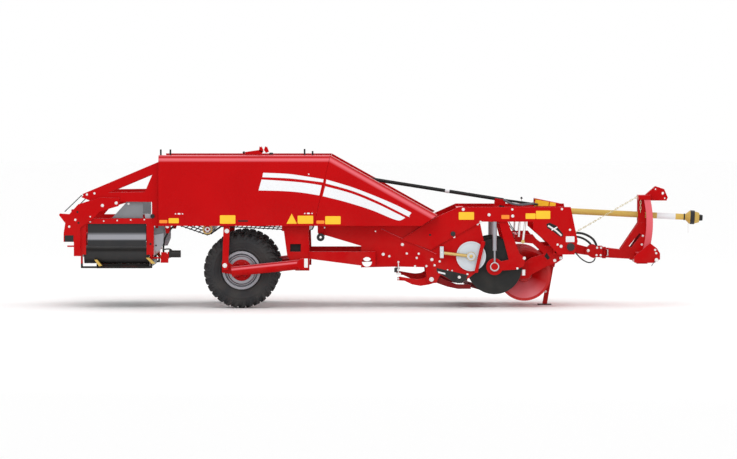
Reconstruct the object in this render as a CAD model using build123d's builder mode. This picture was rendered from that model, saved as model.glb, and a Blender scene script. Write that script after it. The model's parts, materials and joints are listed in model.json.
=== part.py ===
"""Trailed two-row windrower: webs, hood, wheels, discs, row rollers, drawbar and cross conveyor.

Millimetres. +X is forward, +Y is left, +Z is up; the ground is Z = 0.
Side pieces are drawn for the right side (-Y) and mirrored for the left.
"""
import os

from build123d import *

os.makedirs("parts", exist_ok=True)

# Half widths from the centre plane, outward
WEB_HALF = 850
CHANNEL_IN = WEB_HALF + 20
PLATE = 20
CHANNEL_OUT = CHANNEL_IN + PLATE
FRAME_OUT = CHANNEL_OUT + PLATE
RAIL_OUT = CHANNEL_IN + 80
HOOD_REACH = 100
HOOD_OUT = RAIL_OUT + HOOD_REACH
SKIN = 10

# Hood and rails
HOOD_REAR = -2506
HOOD_TOP = 1703
HOOD_BOTTOM = 920
HOOD_ROLL = 90
SEAM_TOP = -600
SEAM_FOOT = -783
NOSE_X = 589
NOSE_Z = 1039
NOSE_FOOT = 412
RAIL_BOTTOM = 930
RAIL_HEIGHT = 120
RAIL_TOP = RAIL_BOTTOM + RAIL_HEIGHT
RAIL_FRONT = 330

# Front frame
FRAME_TOP = 1127
BEAM_BOTTOM = 963
FRAME_FRONT = 2069
BOX_REAR = 1880
BOX_LENGTH = 170
BOX_FRONT = BOX_REAR + BOX_LENGTH
BOX_BOTTOM = 598
BOX_TOP = 720

# Wheels and axle
TYRE_RADIUS = 422
TYRE_WIDTH = 290
BEAD_RADIUS = 196
WHEEL_X = -1590
WHEEL_Y = 785
STUB_RADIUS = 40
PIVOT_X = -910
PIVOT_Z = 494
AXLE_TUBE_RADIUS = 60
ARM_RADIUS = 55
ARM_Y = WHEEL_Y + TYRE_WIDTH / 2 + ARM_RADIUS + 8
STAND_OUT = 935

# Row tools
DISC_X = 1224
DISC_Z = 461
DISC_RADIUS = 308
ROLLER_X = 1561
ROLLER_Z = 373
ROLLER_RADIUS = 298
ROLLER_IN = 70
ROLLER_OUT = 690

# Hitch
PITCH_X = BOX_FRONT + 261
PITCH_Z = 606
YAW_X = PITCH_X + 174
DRAW_HALF = 95
LINK_X = 3046
LINK_Z = 523
LINK_SHOULDER = 482
LINK_PIN = 18.25
TOP_BORE = 16

# Drive shaft
SHAFT_X = 1985
SHAFT_Z = 1066
SHAFT_SLOPE = -2.9
SHAFT_LENGTH = 1618
GUARD_RADIUS = 34

# Cross conveyor
CROSS_REAR = -3371
CROSS_FRONT = -2580
CROSS_HALF = 1000
BELT_Z = 594
BELT_TOP = 705

GAP = 0.3
RUN = 0.08


def save(shape, name):
    shape.label = name
    export_step(shape, f"parts/{name}.step")


def save_pair(shape, name):
    save(shape, f"{name}_right")
    save(mirror(shape, about=Plane.XZ), f"{name}_left")


def save_both(shape, name):
    """Both sides in one file, as two solids that don't touch."""
    with BuildPart() as both:
        add(shape)
        mirror(about=Plane.XZ)
    save(both.part, name)


def plate(outline, inner, outer, holes=(), window=None, corner=0):
    """A flat plate on the right side, from half width inner to outer."""
    with BuildPart() as made:
        with BuildSketch(Plane.XZ.offset(inner)):
            with BuildLine():
                if corner:
                    FilletPolyline(*outline, radius=corner, close=True)
                else:
                    Polyline(*outline, close=True)
            make_face()
            for x, z, radius in holes:
                with Locations((x, z)):
                    Circle(radius, mode=Mode.SUBTRACT)
            if window:
                with BuildLine():
                    Polyline(*window, close=True)
                make_face(mode=Mode.SUBTRACT)
        extrude(amount=outer - inner)
    return made.part


def across(x, z):
    """A plane at y = 0 with its normal to the right, centred on an axis across the machine."""
    return Plane(origin=(x, 0, z), x_dir=(1, 0, 0), z_dir=(0, -1, 0))


# Hood: an inverted trough, outer wall and inner wall with a rolled top
HOOD_DEPTH = HOOD_TOP - HOOD_BOTTOM
WALL_IN = CHANNEL_IN + SKIN
with BuildSketch() as hood_section:
    with BuildLine():
        Polyline((-CHANNEL_IN, -HOOD_DEPTH), (-CHANNEL_IN, 0), (-HOOD_OUT + HOOD_ROLL, 0))
        RadiusArc((-HOOD_OUT + HOOD_ROLL, 0), (-HOOD_OUT, -HOOD_ROLL), -HOOD_ROLL)
        Polyline(
            (-HOOD_OUT, -HOOD_ROLL), (-HOOD_OUT, -HOOD_DEPTH), (-HOOD_OUT + SKIN, -HOOD_DEPTH),
            (-HOOD_OUT + SKIN, -HOOD_ROLL),
        )
        RadiusArc(
            (-HOOD_OUT + SKIN, -HOOD_ROLL), (-HOOD_OUT + HOOD_ROLL, -SKIN), HOOD_ROLL - SKIN
        )
        Polyline(
            (-HOOD_OUT + HOOD_ROLL, -SKIN), (-WALL_IN, -SKIN), (-WALL_IN, -HOOD_DEPTH),
            (-CHANNEL_IN, -HOOD_DEPTH),
        )
    make_face()

SEAM_GAP = 3
SLOPE = (NOSE_X - SEAM_TOP, NOSE_Z - HOOD_TOP)
RAIL_SPACE = (2 * (RAIL_FRONT - HOOD_REAR), 2 * (RAIL_OUT - CHANNEL_IN), RAIL_TOP)

with BuildPart() as hood_rear:
    with BuildSketch(Plane(origin=(HOOD_REAR, 0, HOOD_TOP), x_dir=(0, 1, 0), z_dir=(1, 0, 0))):
        add(hood_section.sketch)
    extrude(amount=SEAM_TOP - HOOD_REAR)
    with BuildSketch(Plane.XZ):
        with BuildLine():
            Polyline(
                (HOOD_REAR, HOOD_BOTTOM), (HOOD_REAR, HOOD_TOP), (SEAM_TOP - SEAM_GAP, HOOD_TOP),
                (SEAM_FOOT - SEAM_GAP, HOOD_BOTTOM), close=True,
            )
        make_face()
    extrude(amount=2 * HOOD_OUT, mode=Mode.INTERSECT)
    with Locations((HOOD_REAR, -CHANNEL_IN, RAIL_TOP / 2)):
        Box(*RAIL_SPACE, mode=Mode.SUBTRACT)
save_pair(hood_rear.part, "hood_rear")

with BuildPart() as hood_front:
    with BuildSketch(
        Plane(origin=(SEAM_TOP, 0, HOOD_TOP), x_dir=(0, 1, 0), z_dir=(SLOPE[0], 0, SLOPE[1]))
    ):
        add(hood_section.sketch)
    extrude(amount=SLOPE[0] * 1.5, both=True)
    with BuildSketch(Plane.XZ):
        with BuildLine():
            Polyline(
                (SEAM_TOP, HOOD_TOP), (NOSE_X, NOSE_Z), (NOSE_FOOT, HOOD_BOTTOM),
                (SEAM_FOOT, HOOD_BOTTOM), close=True,
            )
        make_face()
    extrude(amount=2 * HOOD_OUT, mode=Mode.INTERSECT)
    with Locations((SEAM_FOOT, -CHANNEL_IN, RAIL_TOP / 2)):
        Box(4 * HOOD_OUT, 2 * (RAIL_OUT - CHANNEL_IN), RAIL_TOP, mode=Mode.SUBTRACT)
save_pair(hood_front.part, "hood_front")

# Frame rails under the hood with a hanger for the dip roller, and the posts of the outer wall
DIP_ROLLER = (-1968, 878)
with BuildPart() as rail:
    with BuildSketch(Plane.YZ.offset(HOOD_REAR)):
        with Locations((-(CHANNEL_IN + RAIL_OUT) / 2, RAIL_BOTTOM + RAIL_HEIGHT / 2)):
            Rectangle(RAIL_OUT - CHANNEL_IN, RAIL_HEIGHT)
            Rectangle(RAIL_OUT - CHANNEL_IN - 2 * SKIN, RAIL_HEIGHT - 2 * SKIN, mode=Mode.SUBTRACT)
    extrude(amount=RAIL_FRONT - HOOD_REAR)
    with Locations((DIP_ROLLER[0], -CHANNEL_IN - 10, (RAIL_BOTTOM + DIP_ROLLER[1] - 30) / 2)):
        Box(60, 20, RAIL_BOTTOM - DIP_ROLLER[1] + 30)
save_both(rail.part, "rail")

POST_TOP = HOOD_TOP - HOOD_ROLL
POST_WIDTH = 70
HEIGHT_POST_X = -1750
# Posts: middle along the machine, top height
HOOD_POSTS = [
    (HOOD_REAR + POST_WIDTH / 2, POST_TOP),
    (HEIGHT_POST_X, POST_TOP),
    (-1100, POST_TOP),
    (SEAM_FOOT + 120, RAIL_TOP + 350),
    (RAIL_FRONT - 200, RAIL_TOP),
]
with BuildPart() as hood_posts:
    for middle, top in HOOD_POSTS:
        with Locations((middle, -(RAIL_OUT + HOOD_OUT - SKIN) / 2, (RAIL_BOTTOM + top) / 2)):
            Box(POST_WIDTH, HOOD_OUT - SKIN - RAIL_OUT, top - RAIL_BOTTOM)
save_both(hood_posts.part, "hood_posts")

# Front frame: side plates, channel plates, beams to the axle stand
frame_side = plate(
    [
        (824, FRAME_TOP), (FRAME_FRONT, FRAME_TOP), (2147, 745), (2111, BOX_BOTTOM),
        (1930, BOX_BOTTOM), (1815, 727), (1652, 871), (1652, BEAM_BOTTOM),
        (1078, BEAM_BOTTOM), (597, 701), (516, 649), (182, 765), (405, 905), (583, 1020),
    ],
    CHANNEL_OUT, FRAME_OUT,
    window=[(1820, 925), (1845, 942), (1985, 815), (1962, 795)],
)
save_both(frame_side, "frame_side")

SHARE_PIVOT_X = 525
SHARE_PIVOT_Z = 323
SHARE_PIN = 20
BEAM_HOLE = (-195, 516, 55)
channel_plate = plate(
    [
        (SEAM_FOOT + 40, RAIL_BOTTOM), (SEAM_FOOT + 40, 838), (-261, 694), (-261, 454), (147, 463),
        (455, 456), (SHARE_PIVOT_X - 50, 280), (SHARE_PIVOT_X + 50, 280), (620, 372), (735, 310),
        (832, 285), (930, 330), (1014, 397), (1113, 702), (1064, 942), (600, 1000),
        (RAIL_FRONT + 70, RAIL_BOTTOM),
    ],
    CHANNEL_IN, CHANNEL_OUT,
    holes=[BEAM_HOLE, (SHARE_PIVOT_X, SHARE_PIVOT_Z, SHARE_PIN + GAP)],
)
# The bar that passes in front of the drive disc, on two blocks
BAR_STANDOFF = 32
disc_bar = plate(
    [(1075, 745), (1118, 745), (1036, 396), (996, 396)],
    CHANNEL_OUT + BAR_STANDOFF, CHANNEL_OUT + BAR_STANDOFF + 12,
)
with BuildPart() as channel:
    add(channel_plate)
    add(disc_bar)
    for x, z, length, height in ((1100, 722, 36, 36), (1012, 405, 20, 16)):
        with Locations((x, -CHANNEL_OUT - BAR_STANDOFF / 2, z)):
            Box(length, BAR_STANDOFF, height)
save_both(channel.part, "channel")

AXLE_STAND_FRONT = -835
beam = plate(
    [
        (AXLE_STAND_FRONT, 552), (AXLE_STAND_FRONT, 632), (-100, 632), (-100, 465), (-261, 477),
    ],
    CHANNEL_OUT, CHANNEL_OUT + 60,
    holes=[BEAM_HOLE],
)
save_both(beam, "beam")

# Cross tubes between the two sides: x, z, length, height, half width
TOOL_TUBE_X = DISC_X + 96
CROSS_TUBES = [
    (TOOL_TUBE_X, FRAME_TOP - 92, 100, 100, CHANNEL_IN),
    (860, FRAME_TOP - 70, 80, 80, CHANNEL_OUT),
    (1770, FRAME_TOP - 240, 80, 80, CHANNEL_OUT),
    (-1250, RAIL_BOTTOM + 22, 70, 70, CHANNEL_IN),
    (-2100, RAIL_BOTTOM + 60, 70, 70, CHANNEL_IN),
    (-300, HOOD_TOP - 257, 60, 60, CHANNEL_IN),
]
with BuildPart() as frame_cross:
    for x, z, length, height, half in CROSS_TUBES:
        with Locations((x, 0, z)):
            Box(length, 2 * half, height)
save(frame_cross.part, "frame_cross")

# Front cross box with the stand sleeve through it and the tongue lug in front
STAND_LEAN = 10
STAND_FOOT_X = 1813
STAND_TOP = 620
STAND_LEG = 52
SLEEVE_WALL = 10
SLEEVE_BOTTOM = 440
TONGUE_HALF = 40
HINGE_PIN = 22
stand_plane = Plane(
    origin=(STAND_FOOT_X, 0, 0), x_dir=(0, 1, 0), z_dir=(0, 0, 1)
).rotated((0, STAND_LEAN, 0))
with BuildPart() as front_box:
    with BuildSketch(Plane.XZ.offset(-CHANNEL_OUT)):
        with Locations(((BOX_REAR + BOX_FRONT) / 2, (BOX_BOTTOM + BOX_TOP) / 2)):
            Rectangle(BOX_FRONT - BOX_REAR, BOX_TOP - BOX_BOTTOM)
            Rectangle(BOX_FRONT - BOX_REAR - 24, BOX_TOP - BOX_BOTTOM - 24, mode=Mode.SUBTRACT)
    extrude(amount=2 * CHANNEL_OUT)
    with BuildSketch(stand_plane.offset(SLEEVE_BOTTOM)):
        Rectangle(STAND_LEG + 2 * SLEEVE_WALL, STAND_LEG + 2 * SLEEVE_WALL)
    extrude(amount=BOX_TOP + 60 - SLEEVE_BOTTOM)
    with BuildSketch(stand_plane.offset(SLEEVE_BOTTOM - 50)):
        Rectangle(STAND_LEG + 1, STAND_LEG + 1)
    extrude(amount=BOX_TOP + 200 - SLEEVE_BOTTOM, mode=Mode.SUBTRACT)
    with BuildSketch(Plane.XZ.offset(-TONGUE_HALF)):
        with BuildLine():
            Polyline(
                (BOX_FRONT, BOX_TOP), (BOX_FRONT, BOX_BOTTOM), (PITCH_X, PITCH_Z - 45),
                (PITCH_X, PITCH_Z + 45), close=True,
            )
        make_face()
        with Locations((PITCH_X, PITCH_Z)):
            Circle(45)
            Circle(HINGE_PIN + RUN, mode=Mode.SUBTRACT)
    extrude(amount=2 * TONGUE_HALF)
    with Locations((BOX_FRONT - 30, -150, BOX_TOP + 35)):
        Box(50, 20, 70)
save(front_box.part, "front_box")

with BuildPart() as stand_leg:
    with BuildSketch(stand_plane.offset(8)):
        Rectangle(STAND_LEG, STAND_LEG)
        Rectangle(STAND_LEG - 14, STAND_LEG - 14, mode=Mode.SUBTRACT)
    extrude(amount=STAND_TOP - 8)
    with Locations((STAND_FOOT_X, 0, 6)):
        Box(155, 120, 12)
save(stand_leg.part, "stand_leg")

# Axle: stands under the rails, one tube across, trailing arms, height posts
stand_plate = plate(
    [
        (-1128, RAIL_BOTTOM), (-846, RAIL_BOTTOM), (AXLE_STAND_FRONT, 660), (AXLE_STAND_FRONT, 420),
        (PIVOT_X - 80, 420), (-1082, 594),
    ],
    CHANNEL_IN, STAND_OUT,
    holes=[(PIVOT_X, PIVOT_Z, AXLE_TUBE_RADIUS + GAP)],
)
with BuildPart() as axle_stand:
    add(stand_plate)
    with Locations((-989, -STAND_OUT, 673)):
        Box(120, 80, 86, mode=Mode.SUBTRACT)
    with Locations((-987, -STAND_OUT - 5, RAIL_BOTTOM - 35)):
        Box(304, 10, 70)
save_both(axle_stand.part, "axle_stand")

with BuildPart() as axle_tube:
    with BuildSketch(across(PIVOT_X, PIVOT_Z).offset(-STAND_OUT)):
        Circle(AXLE_TUBE_RADIUS)
        Circle(AXLE_TUBE_RADIUS - 12, mode=Mode.SUBTRACT)
    extrude(amount=2 * STAND_OUT)

ARM_END_X = -1700
ARM_DIP = (PIVOT_Z - TYRE_RADIUS) / (PIVOT_X - WHEEL_X)
HUB_IN = WHEEL_Y - 60
with BuildPart() as wheel_arm:
    with BuildSketch(
        Plane(origin=(PIVOT_X, -ARM_Y, PIVOT_Z), x_dir=(0, 1, 0), z_dir=(-1, 0, -ARM_DIP))
    ):
        Circle(ARM_RADIUS)
    extrude(amount=PIVOT_X - ARM_END_X)
    with BuildSketch(across(PIVOT_X, PIVOT_Z).offset(STAND_OUT)):
        Circle(62)
    extrude(amount=HOOD_OUT - 3 - STAND_OUT)
    with BuildSketch(across(WHEEL_X, TYRE_RADIUS).offset(HUB_IN)):
        Circle(STUB_RADIUS)
    extrude(amount=ARM_Y - HUB_IN)
    with BuildSketch(Plane.XZ.offset(ARM_Y - 45)):
        with BuildLine():
            Polyline((-1640, 370), (-1640, 450), (-1740, 520), (-1805, 520), (-1805, 400), close=True)
        make_face()
    extrude(amount=20)
with BuildPart() as axle:
    add(axle_tube.part)
    add(wheel_arm.part)
    add(mirror(wheel_arm.part, about=Plane.XZ))
save(axle.part, "axle")

height_post = plate(
    [
        (HEIGHT_POST_X - 35, RAIL_BOTTOM), (HEIGHT_POST_X + 35, RAIL_BOTTOM),
        (HEIGHT_POST_X + 15, 430), (HEIGHT_POST_X - 52, 430),
    ],
    ARM_Y - 25, ARM_Y + 25,
)
save_both(height_post, "height_post")

# Wheel: tyre with lugs, rim and hub around one axis
RIM_WALL = 8
RIM_HALF = 112
FLANGE_RADIUS = 214
NAVE_Y = WHEEL_Y + 40
HUB_RADIUS = 70
CASING_SIDES = 60
# Rings of the casing: distance outward from the middle of the tyre, radius
CASING = [
    (-RIM_HALF, 224), (-TYRE_WIDTH / 2, 310), (-138, 362), (-118, 392), (-60, TYRE_RADIUS - 18),
    (60, TYRE_RADIUS - 18), (118, 392), (138, 362), (TYRE_WIDTH / 2, 310), (RIM_HALF, 224),
]
with BuildPart() as casing:
    for reach, radius in CASING:
        with BuildSketch(across(WHEEL_X, TYRE_RADIUS).offset(WHEEL_Y + reach)):
            RegularPolygon(radius, CASING_SIDES)
    loft(ruled=True)
    with BuildSketch(across(WHEEL_X, TYRE_RADIUS).offset(WHEEL_Y - RIM_HALF)):
        Circle(BEAD_RADIUS)
    extrude(amount=2 * RIM_HALF, mode=Mode.SUBTRACT)

# One lug runs from the middle of the tread over the shoulder; the pattern is two staggered rings of it
LUGS = 30
LUG_WIDTH = 36
LUG_SWEEP = 22
with BuildSketch(Plane.YZ) as lug_profile:
    with BuildLine():
        Polyline(
            (6, TYRE_RADIUS), (97, TYRE_RADIUS - 4), (131, 403), (150, 366), (150, 340), (128, 340),
            (112, 375), (6, 390), close=True,
        )
    make_face()
with BuildPart() as lug:
    extrude(lug_profile.sketch, amount=LUG_WIDTH / 2, both=True)
tread = []
for step in range(LUGS):
    near = Pos(WHEEL_X, -WHEEL_Y, TYRE_RADIUS) * Rot(0, 360 / LUGS * step, 0)
    far = Pos(WHEEL_X, -WHEEL_Y, TYRE_RADIUS) * Rot(0, 360 / LUGS * (step + 0.5), 0)
    tread.append(near * Rot(0, 0, LUG_SWEEP) * lug.part)
    tread.append(far * Rot(0, 0, 180 - LUG_SWEEP) * lug.part)
with BuildPart() as tyre:
    add(casing.part)
    add(tread)
save_pair(tyre.part, "tyre")

with BuildPart() as rim:
    with BuildSketch(across(WHEEL_X, TYRE_RADIUS).offset(WHEEL_Y - RIM_HALF - RIM_WALL)):
        Circle(BEAD_RADIUS - GAP)
        Circle(BEAD_RADIUS - GAP - RIM_WALL, mode=Mode.SUBTRACT)
    extrude(amount=2 * (RIM_HALF + RIM_WALL))
    for side in (-1, 1):
        with BuildSketch(across(WHEEL_X, TYRE_RADIUS).offset(WHEEL_Y + side * (RIM_HALF + 4) - 4)):
            Circle(FLANGE_RADIUS)
            Circle(BEAD_RADIUS - GAP - RIM_WALL, mode=Mode.SUBTRACT)
        extrude(amount=8)
    with BuildSketch(across(WHEEL_X, TYRE_RADIUS).offset(NAVE_Y)):
        Circle(BEAD_RADIUS - GAP - RIM_WALL / 2)
        Circle(HUB_RADIUS + GAP, mode=Mode.SUBTRACT)
    extrude(amount=12)
save_pair(rim.part, "rim")

with BuildPart() as hub:
    with BuildSketch(across(WHEEL_X, TYRE_RADIUS).offset(HUB_IN - 10)):
        Circle(HUB_RADIUS)
    extrude(amount=NAVE_Y + 12 - HUB_IN + 10)
    with BuildSketch(across(WHEEL_X, TYRE_RADIUS).offset(NAVE_Y + 12)):
        Circle(102)
    extrude(amount=34)
    with BuildSketch(across(WHEEL_X, TYRE_RADIUS).offset(HUB_IN)):
        Circle(STUB_RADIUS + RUN)
    extrude(amount=300, mode=Mode.SUBTRACT)
save_pair(hub.part, "hub")

# Webs: belts in closed loops with bars across, each web one solid
BELT = 10
BAR = 12
BELT_WIDTH = 60
DIG_FRONT = (833, 344)
DIG_REAR = (-640, 1075)


def web(corners, corner_radius, bars):
    """Three belts on a closed loop, bars fused across them at even steps."""
    with BuildLine() as path:
        FilletPolyline(*corners, radius=corner_radius, close=True)
    line = path.wire()
    with BuildSketch(Plane.XZ) as loop:
        with BuildLine():
            add(line)
        make_face()
        offset(amount=-BELT, mode=Mode.SUBTRACT)
    with BuildPart() as made:
        for middle in (-WEB_HALF + BELT_WIDTH / 2, 0, WEB_HALF - BELT_WIDTH / 2):
            extrude(loop.sketch.moved(Location((0, middle + BELT_WIDTH / 2, 0))), amount=BELT_WIDTH)
        for step in range(bars):
            spot = line.position_at(step / bars)
            run = line.tangent_at(step / bars)
            with Locations(Plane(origin=(spot.X, 0, spot.Y), x_dir=(run.X, 0, run.Y), z_dir=(0, -1, 0))):
                Box(BAR, BAR, 2 * WEB_HALF)
    return made.part


def loop_corners(front, rear, radius):
    """Four corners of a loop that wraps two circles of one radius."""
    run = Vector(rear[0] - front[0], rear[1] - front[1]).normalized()
    up = Vector(run.Y, -run.X)
    if up.Y < 0:
        up = up * -1
    return [
        (front[0] + (up.X - run.X) * radius, front[1] + (up.Y - run.Y) * radius),
        (rear[0] + (up.X + run.X) * radius, rear[1] + (up.Y + run.Y) * radius),
        (rear[0] + (run.X - up.X) * radius, rear[1] + (run.Y - up.Y) * radius),
        (front[0] - (up.X + run.X) * radius, front[1] - (up.Y + run.Y) * radius),
    ]


WEB_LOOP = 68
DIG_CORNERS = loop_corners(DIG_FRONT, DIG_REAR, WEB_LOOP)
save(web(DIG_CORNERS, WEB_LOOP - 1, 36), "web_digging")

SEP_FRONT = (-850, 925)
SEP_REAR = (-2420, 1000)
SEP_CORNERS = loop_corners(SEP_FRONT, SEP_REAR, WEB_LOOP)
# The lower run dips round a roller behind the wheels
SEP_DIP = [(-2311, 926), (-1957, 804), (-1815, 905)]
save(web([*SEP_CORNERS[:3], *SEP_DIP, SEP_CORNERS[3]], WEB_LOOP - 1, 36), "web_separating")

# Rollers inside the webs: x, z, radius
ROLLERS = [
    (*DIG_FRONT, WEB_LOOP - BELT - 1),
    (*DIG_REAR, WEB_LOOP - BELT - 1),
    (*SEP_FRONT, WEB_LOOP - BELT - 1),
    (*SEP_REAR, WEB_LOOP - BELT - 1),
    (*DIP_ROLLER, WEB_LOOP - BELT - 4),
]
with BuildPart() as web_rollers:
    for x, z, radius in ROLLERS:
        with BuildSketch(across(x, z).offset(-WEB_HALF)):
            Circle(radius)
        extrude(amount=2 * WEB_HALF)
        with BuildSketch(across(x, z).offset(-CHANNEL_IN)):
            Circle(22)
        extrude(amount=2 * CHANNEL_IN)
save(web_rollers.part, "web_rollers")

# Share: side arms on the lever pivots, two blades in front of the web
share_arm_outline = [
    (140, 345), (140, 310), (222, 304), (307, 264), (400, 247), (495, 262), (570, 285), (700, 238),
    (820, 214), (960, 215), (960, 262), (800, 268), (640, 330), (560, 372), (477, 357), (426, 330),
    (358, 322), (273, 334), (170, 352),
]
ARM_IN = WEB_HALF + 4
with BuildPart() as share:
    for side in (-1, 1):
        with BuildSketch(Plane.XZ.offset(side * (ARM_IN + 7) - 7)):
            with BuildLine():
                Polyline(*share_arm_outline, close=True)
            make_face()
        extrude(amount=14)
        with BuildSketch(across(SHARE_PIVOT_X, SHARE_PIVOT_Z).offset(side * (ARM_IN + 30) - 30)):
            Circle(SHARE_PIN)
        extrude(amount=60)
    with BuildSketch(Plane.XZ.offset(-ARM_IN)):
        with BuildLine():
            Polyline((905, 225), (945, 225), (945, 250), (905, 250), close=True)
        make_face()
    extrude(amount=2 * ARM_IN)
    for side in (-1, 1):
        with BuildSketch(Plane.XZ.offset(side * 380 - 300)):
            with BuildLine():
                Polyline((925, 250), (1130, 190), (1122, 180), (925, 236), close=True)
            make_face()
        extrude(amount=600)
save(share.part, "share")

# Discs on stub axles: outer pair on side arms, inner pair on a middle arm
DISC_STUB = 25
DISC_Y = 812
MIDDLE_Y = 42
DISC_PLATE = 8
DISC_HUB = 60
with BuildPart() as disc_arm:
    with BuildSketch(Plane.XZ.offset(CHANNEL_IN)):
        with BuildLine():
            Polyline(
                (1250, FRAME_TOP - 30), (1400, FRAME_TOP - 30), (1371, BEAM_BOTTOM), (1500, 610),
                (1565, 560), (1551, 470), (1474, 430), (DISC_X, 415), (DISC_X, 507), (1381, 540),
                (1271, BEAM_BOTTOM), close=True,
            )
        make_face()
        with Locations((DISC_X, DISC_Z)):
            Circle(93)
    extrude(amount=PLATE)
    with BuildSketch(across(DISC_X, DISC_Z).offset(DISC_Y - 20)):
        Circle(DISC_STUB)
    extrude(amount=CHANNEL_OUT + 26 - DISC_Y + 20)
    with BuildSketch(across(DISC_X, DISC_Z).offset(CHANNEL_OUT)):
        Circle(40)
    extrude(amount=26)
save_both(disc_arm.part, "disc_arm")

with BuildPart() as disc_arm_middle:
    with BuildSketch(Plane.XZ.offset(-12)):
        with BuildLine():
            Polyline(
                (TOOL_TUBE_X - 45, FRAME_TOP - 142), (TOOL_TUBE_X + 45, FRAME_TOP - 142),
                (TOOL_TUBE_X + 160, 600), (TOOL_TUBE_X + 120, 470), (DISC_X, DISC_Z - 46),
                (DISC_X, DISC_Z + 46), (TOOL_TUBE_X + 50, 560), close=True,
            )
        make_face()
        with Locations((DISC_X, DISC_Z)):
            Circle(60)
    extrude(amount=24)
    with BuildSketch(across(DISC_X, DISC_Z).offset(-MIDDLE_Y - 10)):
        Circle(DISC_STUB)
    extrude(amount=2 * MIDDLE_Y + 20)
save(disc_arm_middle.part, "disc_arm_middle")


def disc(middle, hub_in, hub_out):
    """A flat disc at half width middle, its hub from hub_in to hub_out."""
    with BuildPart() as made:
        with BuildSketch(across(DISC_X, DISC_Z).offset(middle - DISC_PLATE / 2)):
            Circle(DISC_RADIUS)
        extrude(amount=DISC_PLATE)
        with BuildSketch(across(DISC_X, DISC_Z).offset(hub_in)):
            Circle(DISC_HUB)
        extrude(amount=hub_out - hub_in)
        with BuildSketch(across(DISC_X, DISC_Z).offset(hub_in)):
            Circle(DISC_STUB + RUN)
        extrude(amount=hub_out - hub_in, mode=Mode.SUBTRACT)
    return made.part


save_pair(disc(DISC_Y, DISC_Y - 18, DISC_Y + 40), "disc_outer")
save_pair(disc(MIDDLE_Y - 8, 18, MIDDLE_Y + 8), "disc_inner")

STRUT_Y = CHANNEL_OUT + 13
with BuildPart() as disc_strut:
    with BuildSketch(Plane.XY.offset(640)):
        with Locations((DISC_X, -STRUT_Y)):
            Circle(25)
    extrude(amount=BEAM_BOTTOM - 640)
    with BuildSketch(Plane.XY.offset(DISC_Z + 44)):
        with Locations((DISC_X, -STRUT_Y)):
            Circle(12)
    extrude(amount=640 - DISC_Z - 44)
    with BuildSketch(across(DISC_X, DISC_Z).offset(CHANNEL_OUT + GAP)):
        Circle(52)
        Circle(40 + GAP, mode=Mode.SUBTRACT)
    extrude(amount=24)
save_both(disc_strut.part, "disc_strut")

# Row rollers on one shaft in the carrier
SHAFT_RADIUS = 30
WAIST = 150
with BuildPart() as roller:
    with BuildSketch(Plane.YZ.offset(ROLLER_X)):
        middle = (ROLLER_IN + ROLLER_OUT) / 2
        with BuildLine():
            Polyline(
                (-ROLLER_IN, ROLLER_Z + SHAFT_RADIUS + RUN), (-ROLLER_IN, ROLLER_Z + ROLLER_RADIUS),
                (-ROLLER_IN - 12, ROLLER_Z + ROLLER_RADIUS),
            )
            ThreePointArc(
                (-ROLLER_IN - 12, ROLLER_Z + ROLLER_RADIUS), (-middle, ROLLER_Z + WAIST),
                (-ROLLER_OUT + 12, ROLLER_Z + ROLLER_RADIUS),
            )
            Polyline(
                (-ROLLER_OUT + 12, ROLLER_Z + ROLLER_RADIUS), (-ROLLER_OUT, ROLLER_Z + ROLLER_RADIUS),
                (-ROLLER_OUT, ROLLER_Z + ROLLER_RADIUS - 30), (-ROLLER_OUT + 90, ROLLER_Z + 90),
                (-ROLLER_OUT, ROLLER_Z + 80), (-ROLLER_OUT, ROLLER_Z + SHAFT_RADIUS + RUN),
                (-ROLLER_IN, ROLLER_Z + SHAFT_RADIUS + RUN),
            )
        make_face()
    revolve(axis=Axis((ROLLER_X, 0, ROLLER_Z), (0, 1, 0)))
save_pair(roller.part, "row_roller")

CARRIER_IN = 740
with BuildPart() as carrier:
    for side in (-1, 1):
        with BuildSketch(Plane.XZ.offset(side * (CARRIER_IN + 10) - 10)):
            with BuildLine():
                Polyline(
                    (1449, 735), (1449, 815), (1650, 820), (1690, 770), (1790, 690), (BOX_REAR, 690),
                    (BOX_REAR, BOX_BOTTOM), (BOX_FRONT - 64, BOX_BOTTOM), (BOX_FRONT - 64, 544),
                    (BOX_FRONT - 134, 498), (1815, 463), (1644, 373), (1600, 330), (1520, 320), (1490, 400),
                    (1515, 475), (1640, 560), (1780, 600), (1660, 715), close=True,
                )
            make_face()
        extrude(amount=20)
    with BuildSketch(across(ROLLER_X, ROLLER_Z).offset(-CARRIER_IN - 20)):
        Circle(SHAFT_RADIUS)
    extrude(amount=2 * (CARRIER_IN + 20))
    with Locations((1500, 0, 772)):
        Box(60, 2 * CARRIER_IN, 60)
save(carrier.part, "roller_carrier")

# Gearbox, its guard and the drive shaft
GEAR_HALF = 140
GEAR_BOTTOM = FRAME_TOP - 200
EAR_IN = 30
with BuildPart() as gearbox:
    with Locations((1800, 0, GEAR_BOTTOM + 90)):
        Box(220, 2 * GEAR_HALF, 180)
    with BuildSketch(Plane.YZ.offset(1910)):
        with Locations((0, SHAFT_Z)):
            Circle(30)
    extrude(amount=30)
    for side in (-1, 1):
        with BuildSketch(Plane.XZ.offset(side * (EAR_IN + 6) - 6)):
            with Locations(((1930 + SHAFT_X) / 2, SHAFT_Z)):
                Rectangle(SHAFT_X - 1930, 36)
            with Locations((SHAFT_X, SHAFT_Z)):
                Circle(18)
                Circle(9 + RUN, mode=Mode.SUBTRACT)
        extrude(amount=12)
    with Locations((1935, 0, SHAFT_Z)):
        Box(12, 2 * EAR_IN + 24, 60)
save(gearbox.part, "gearbox")

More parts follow.
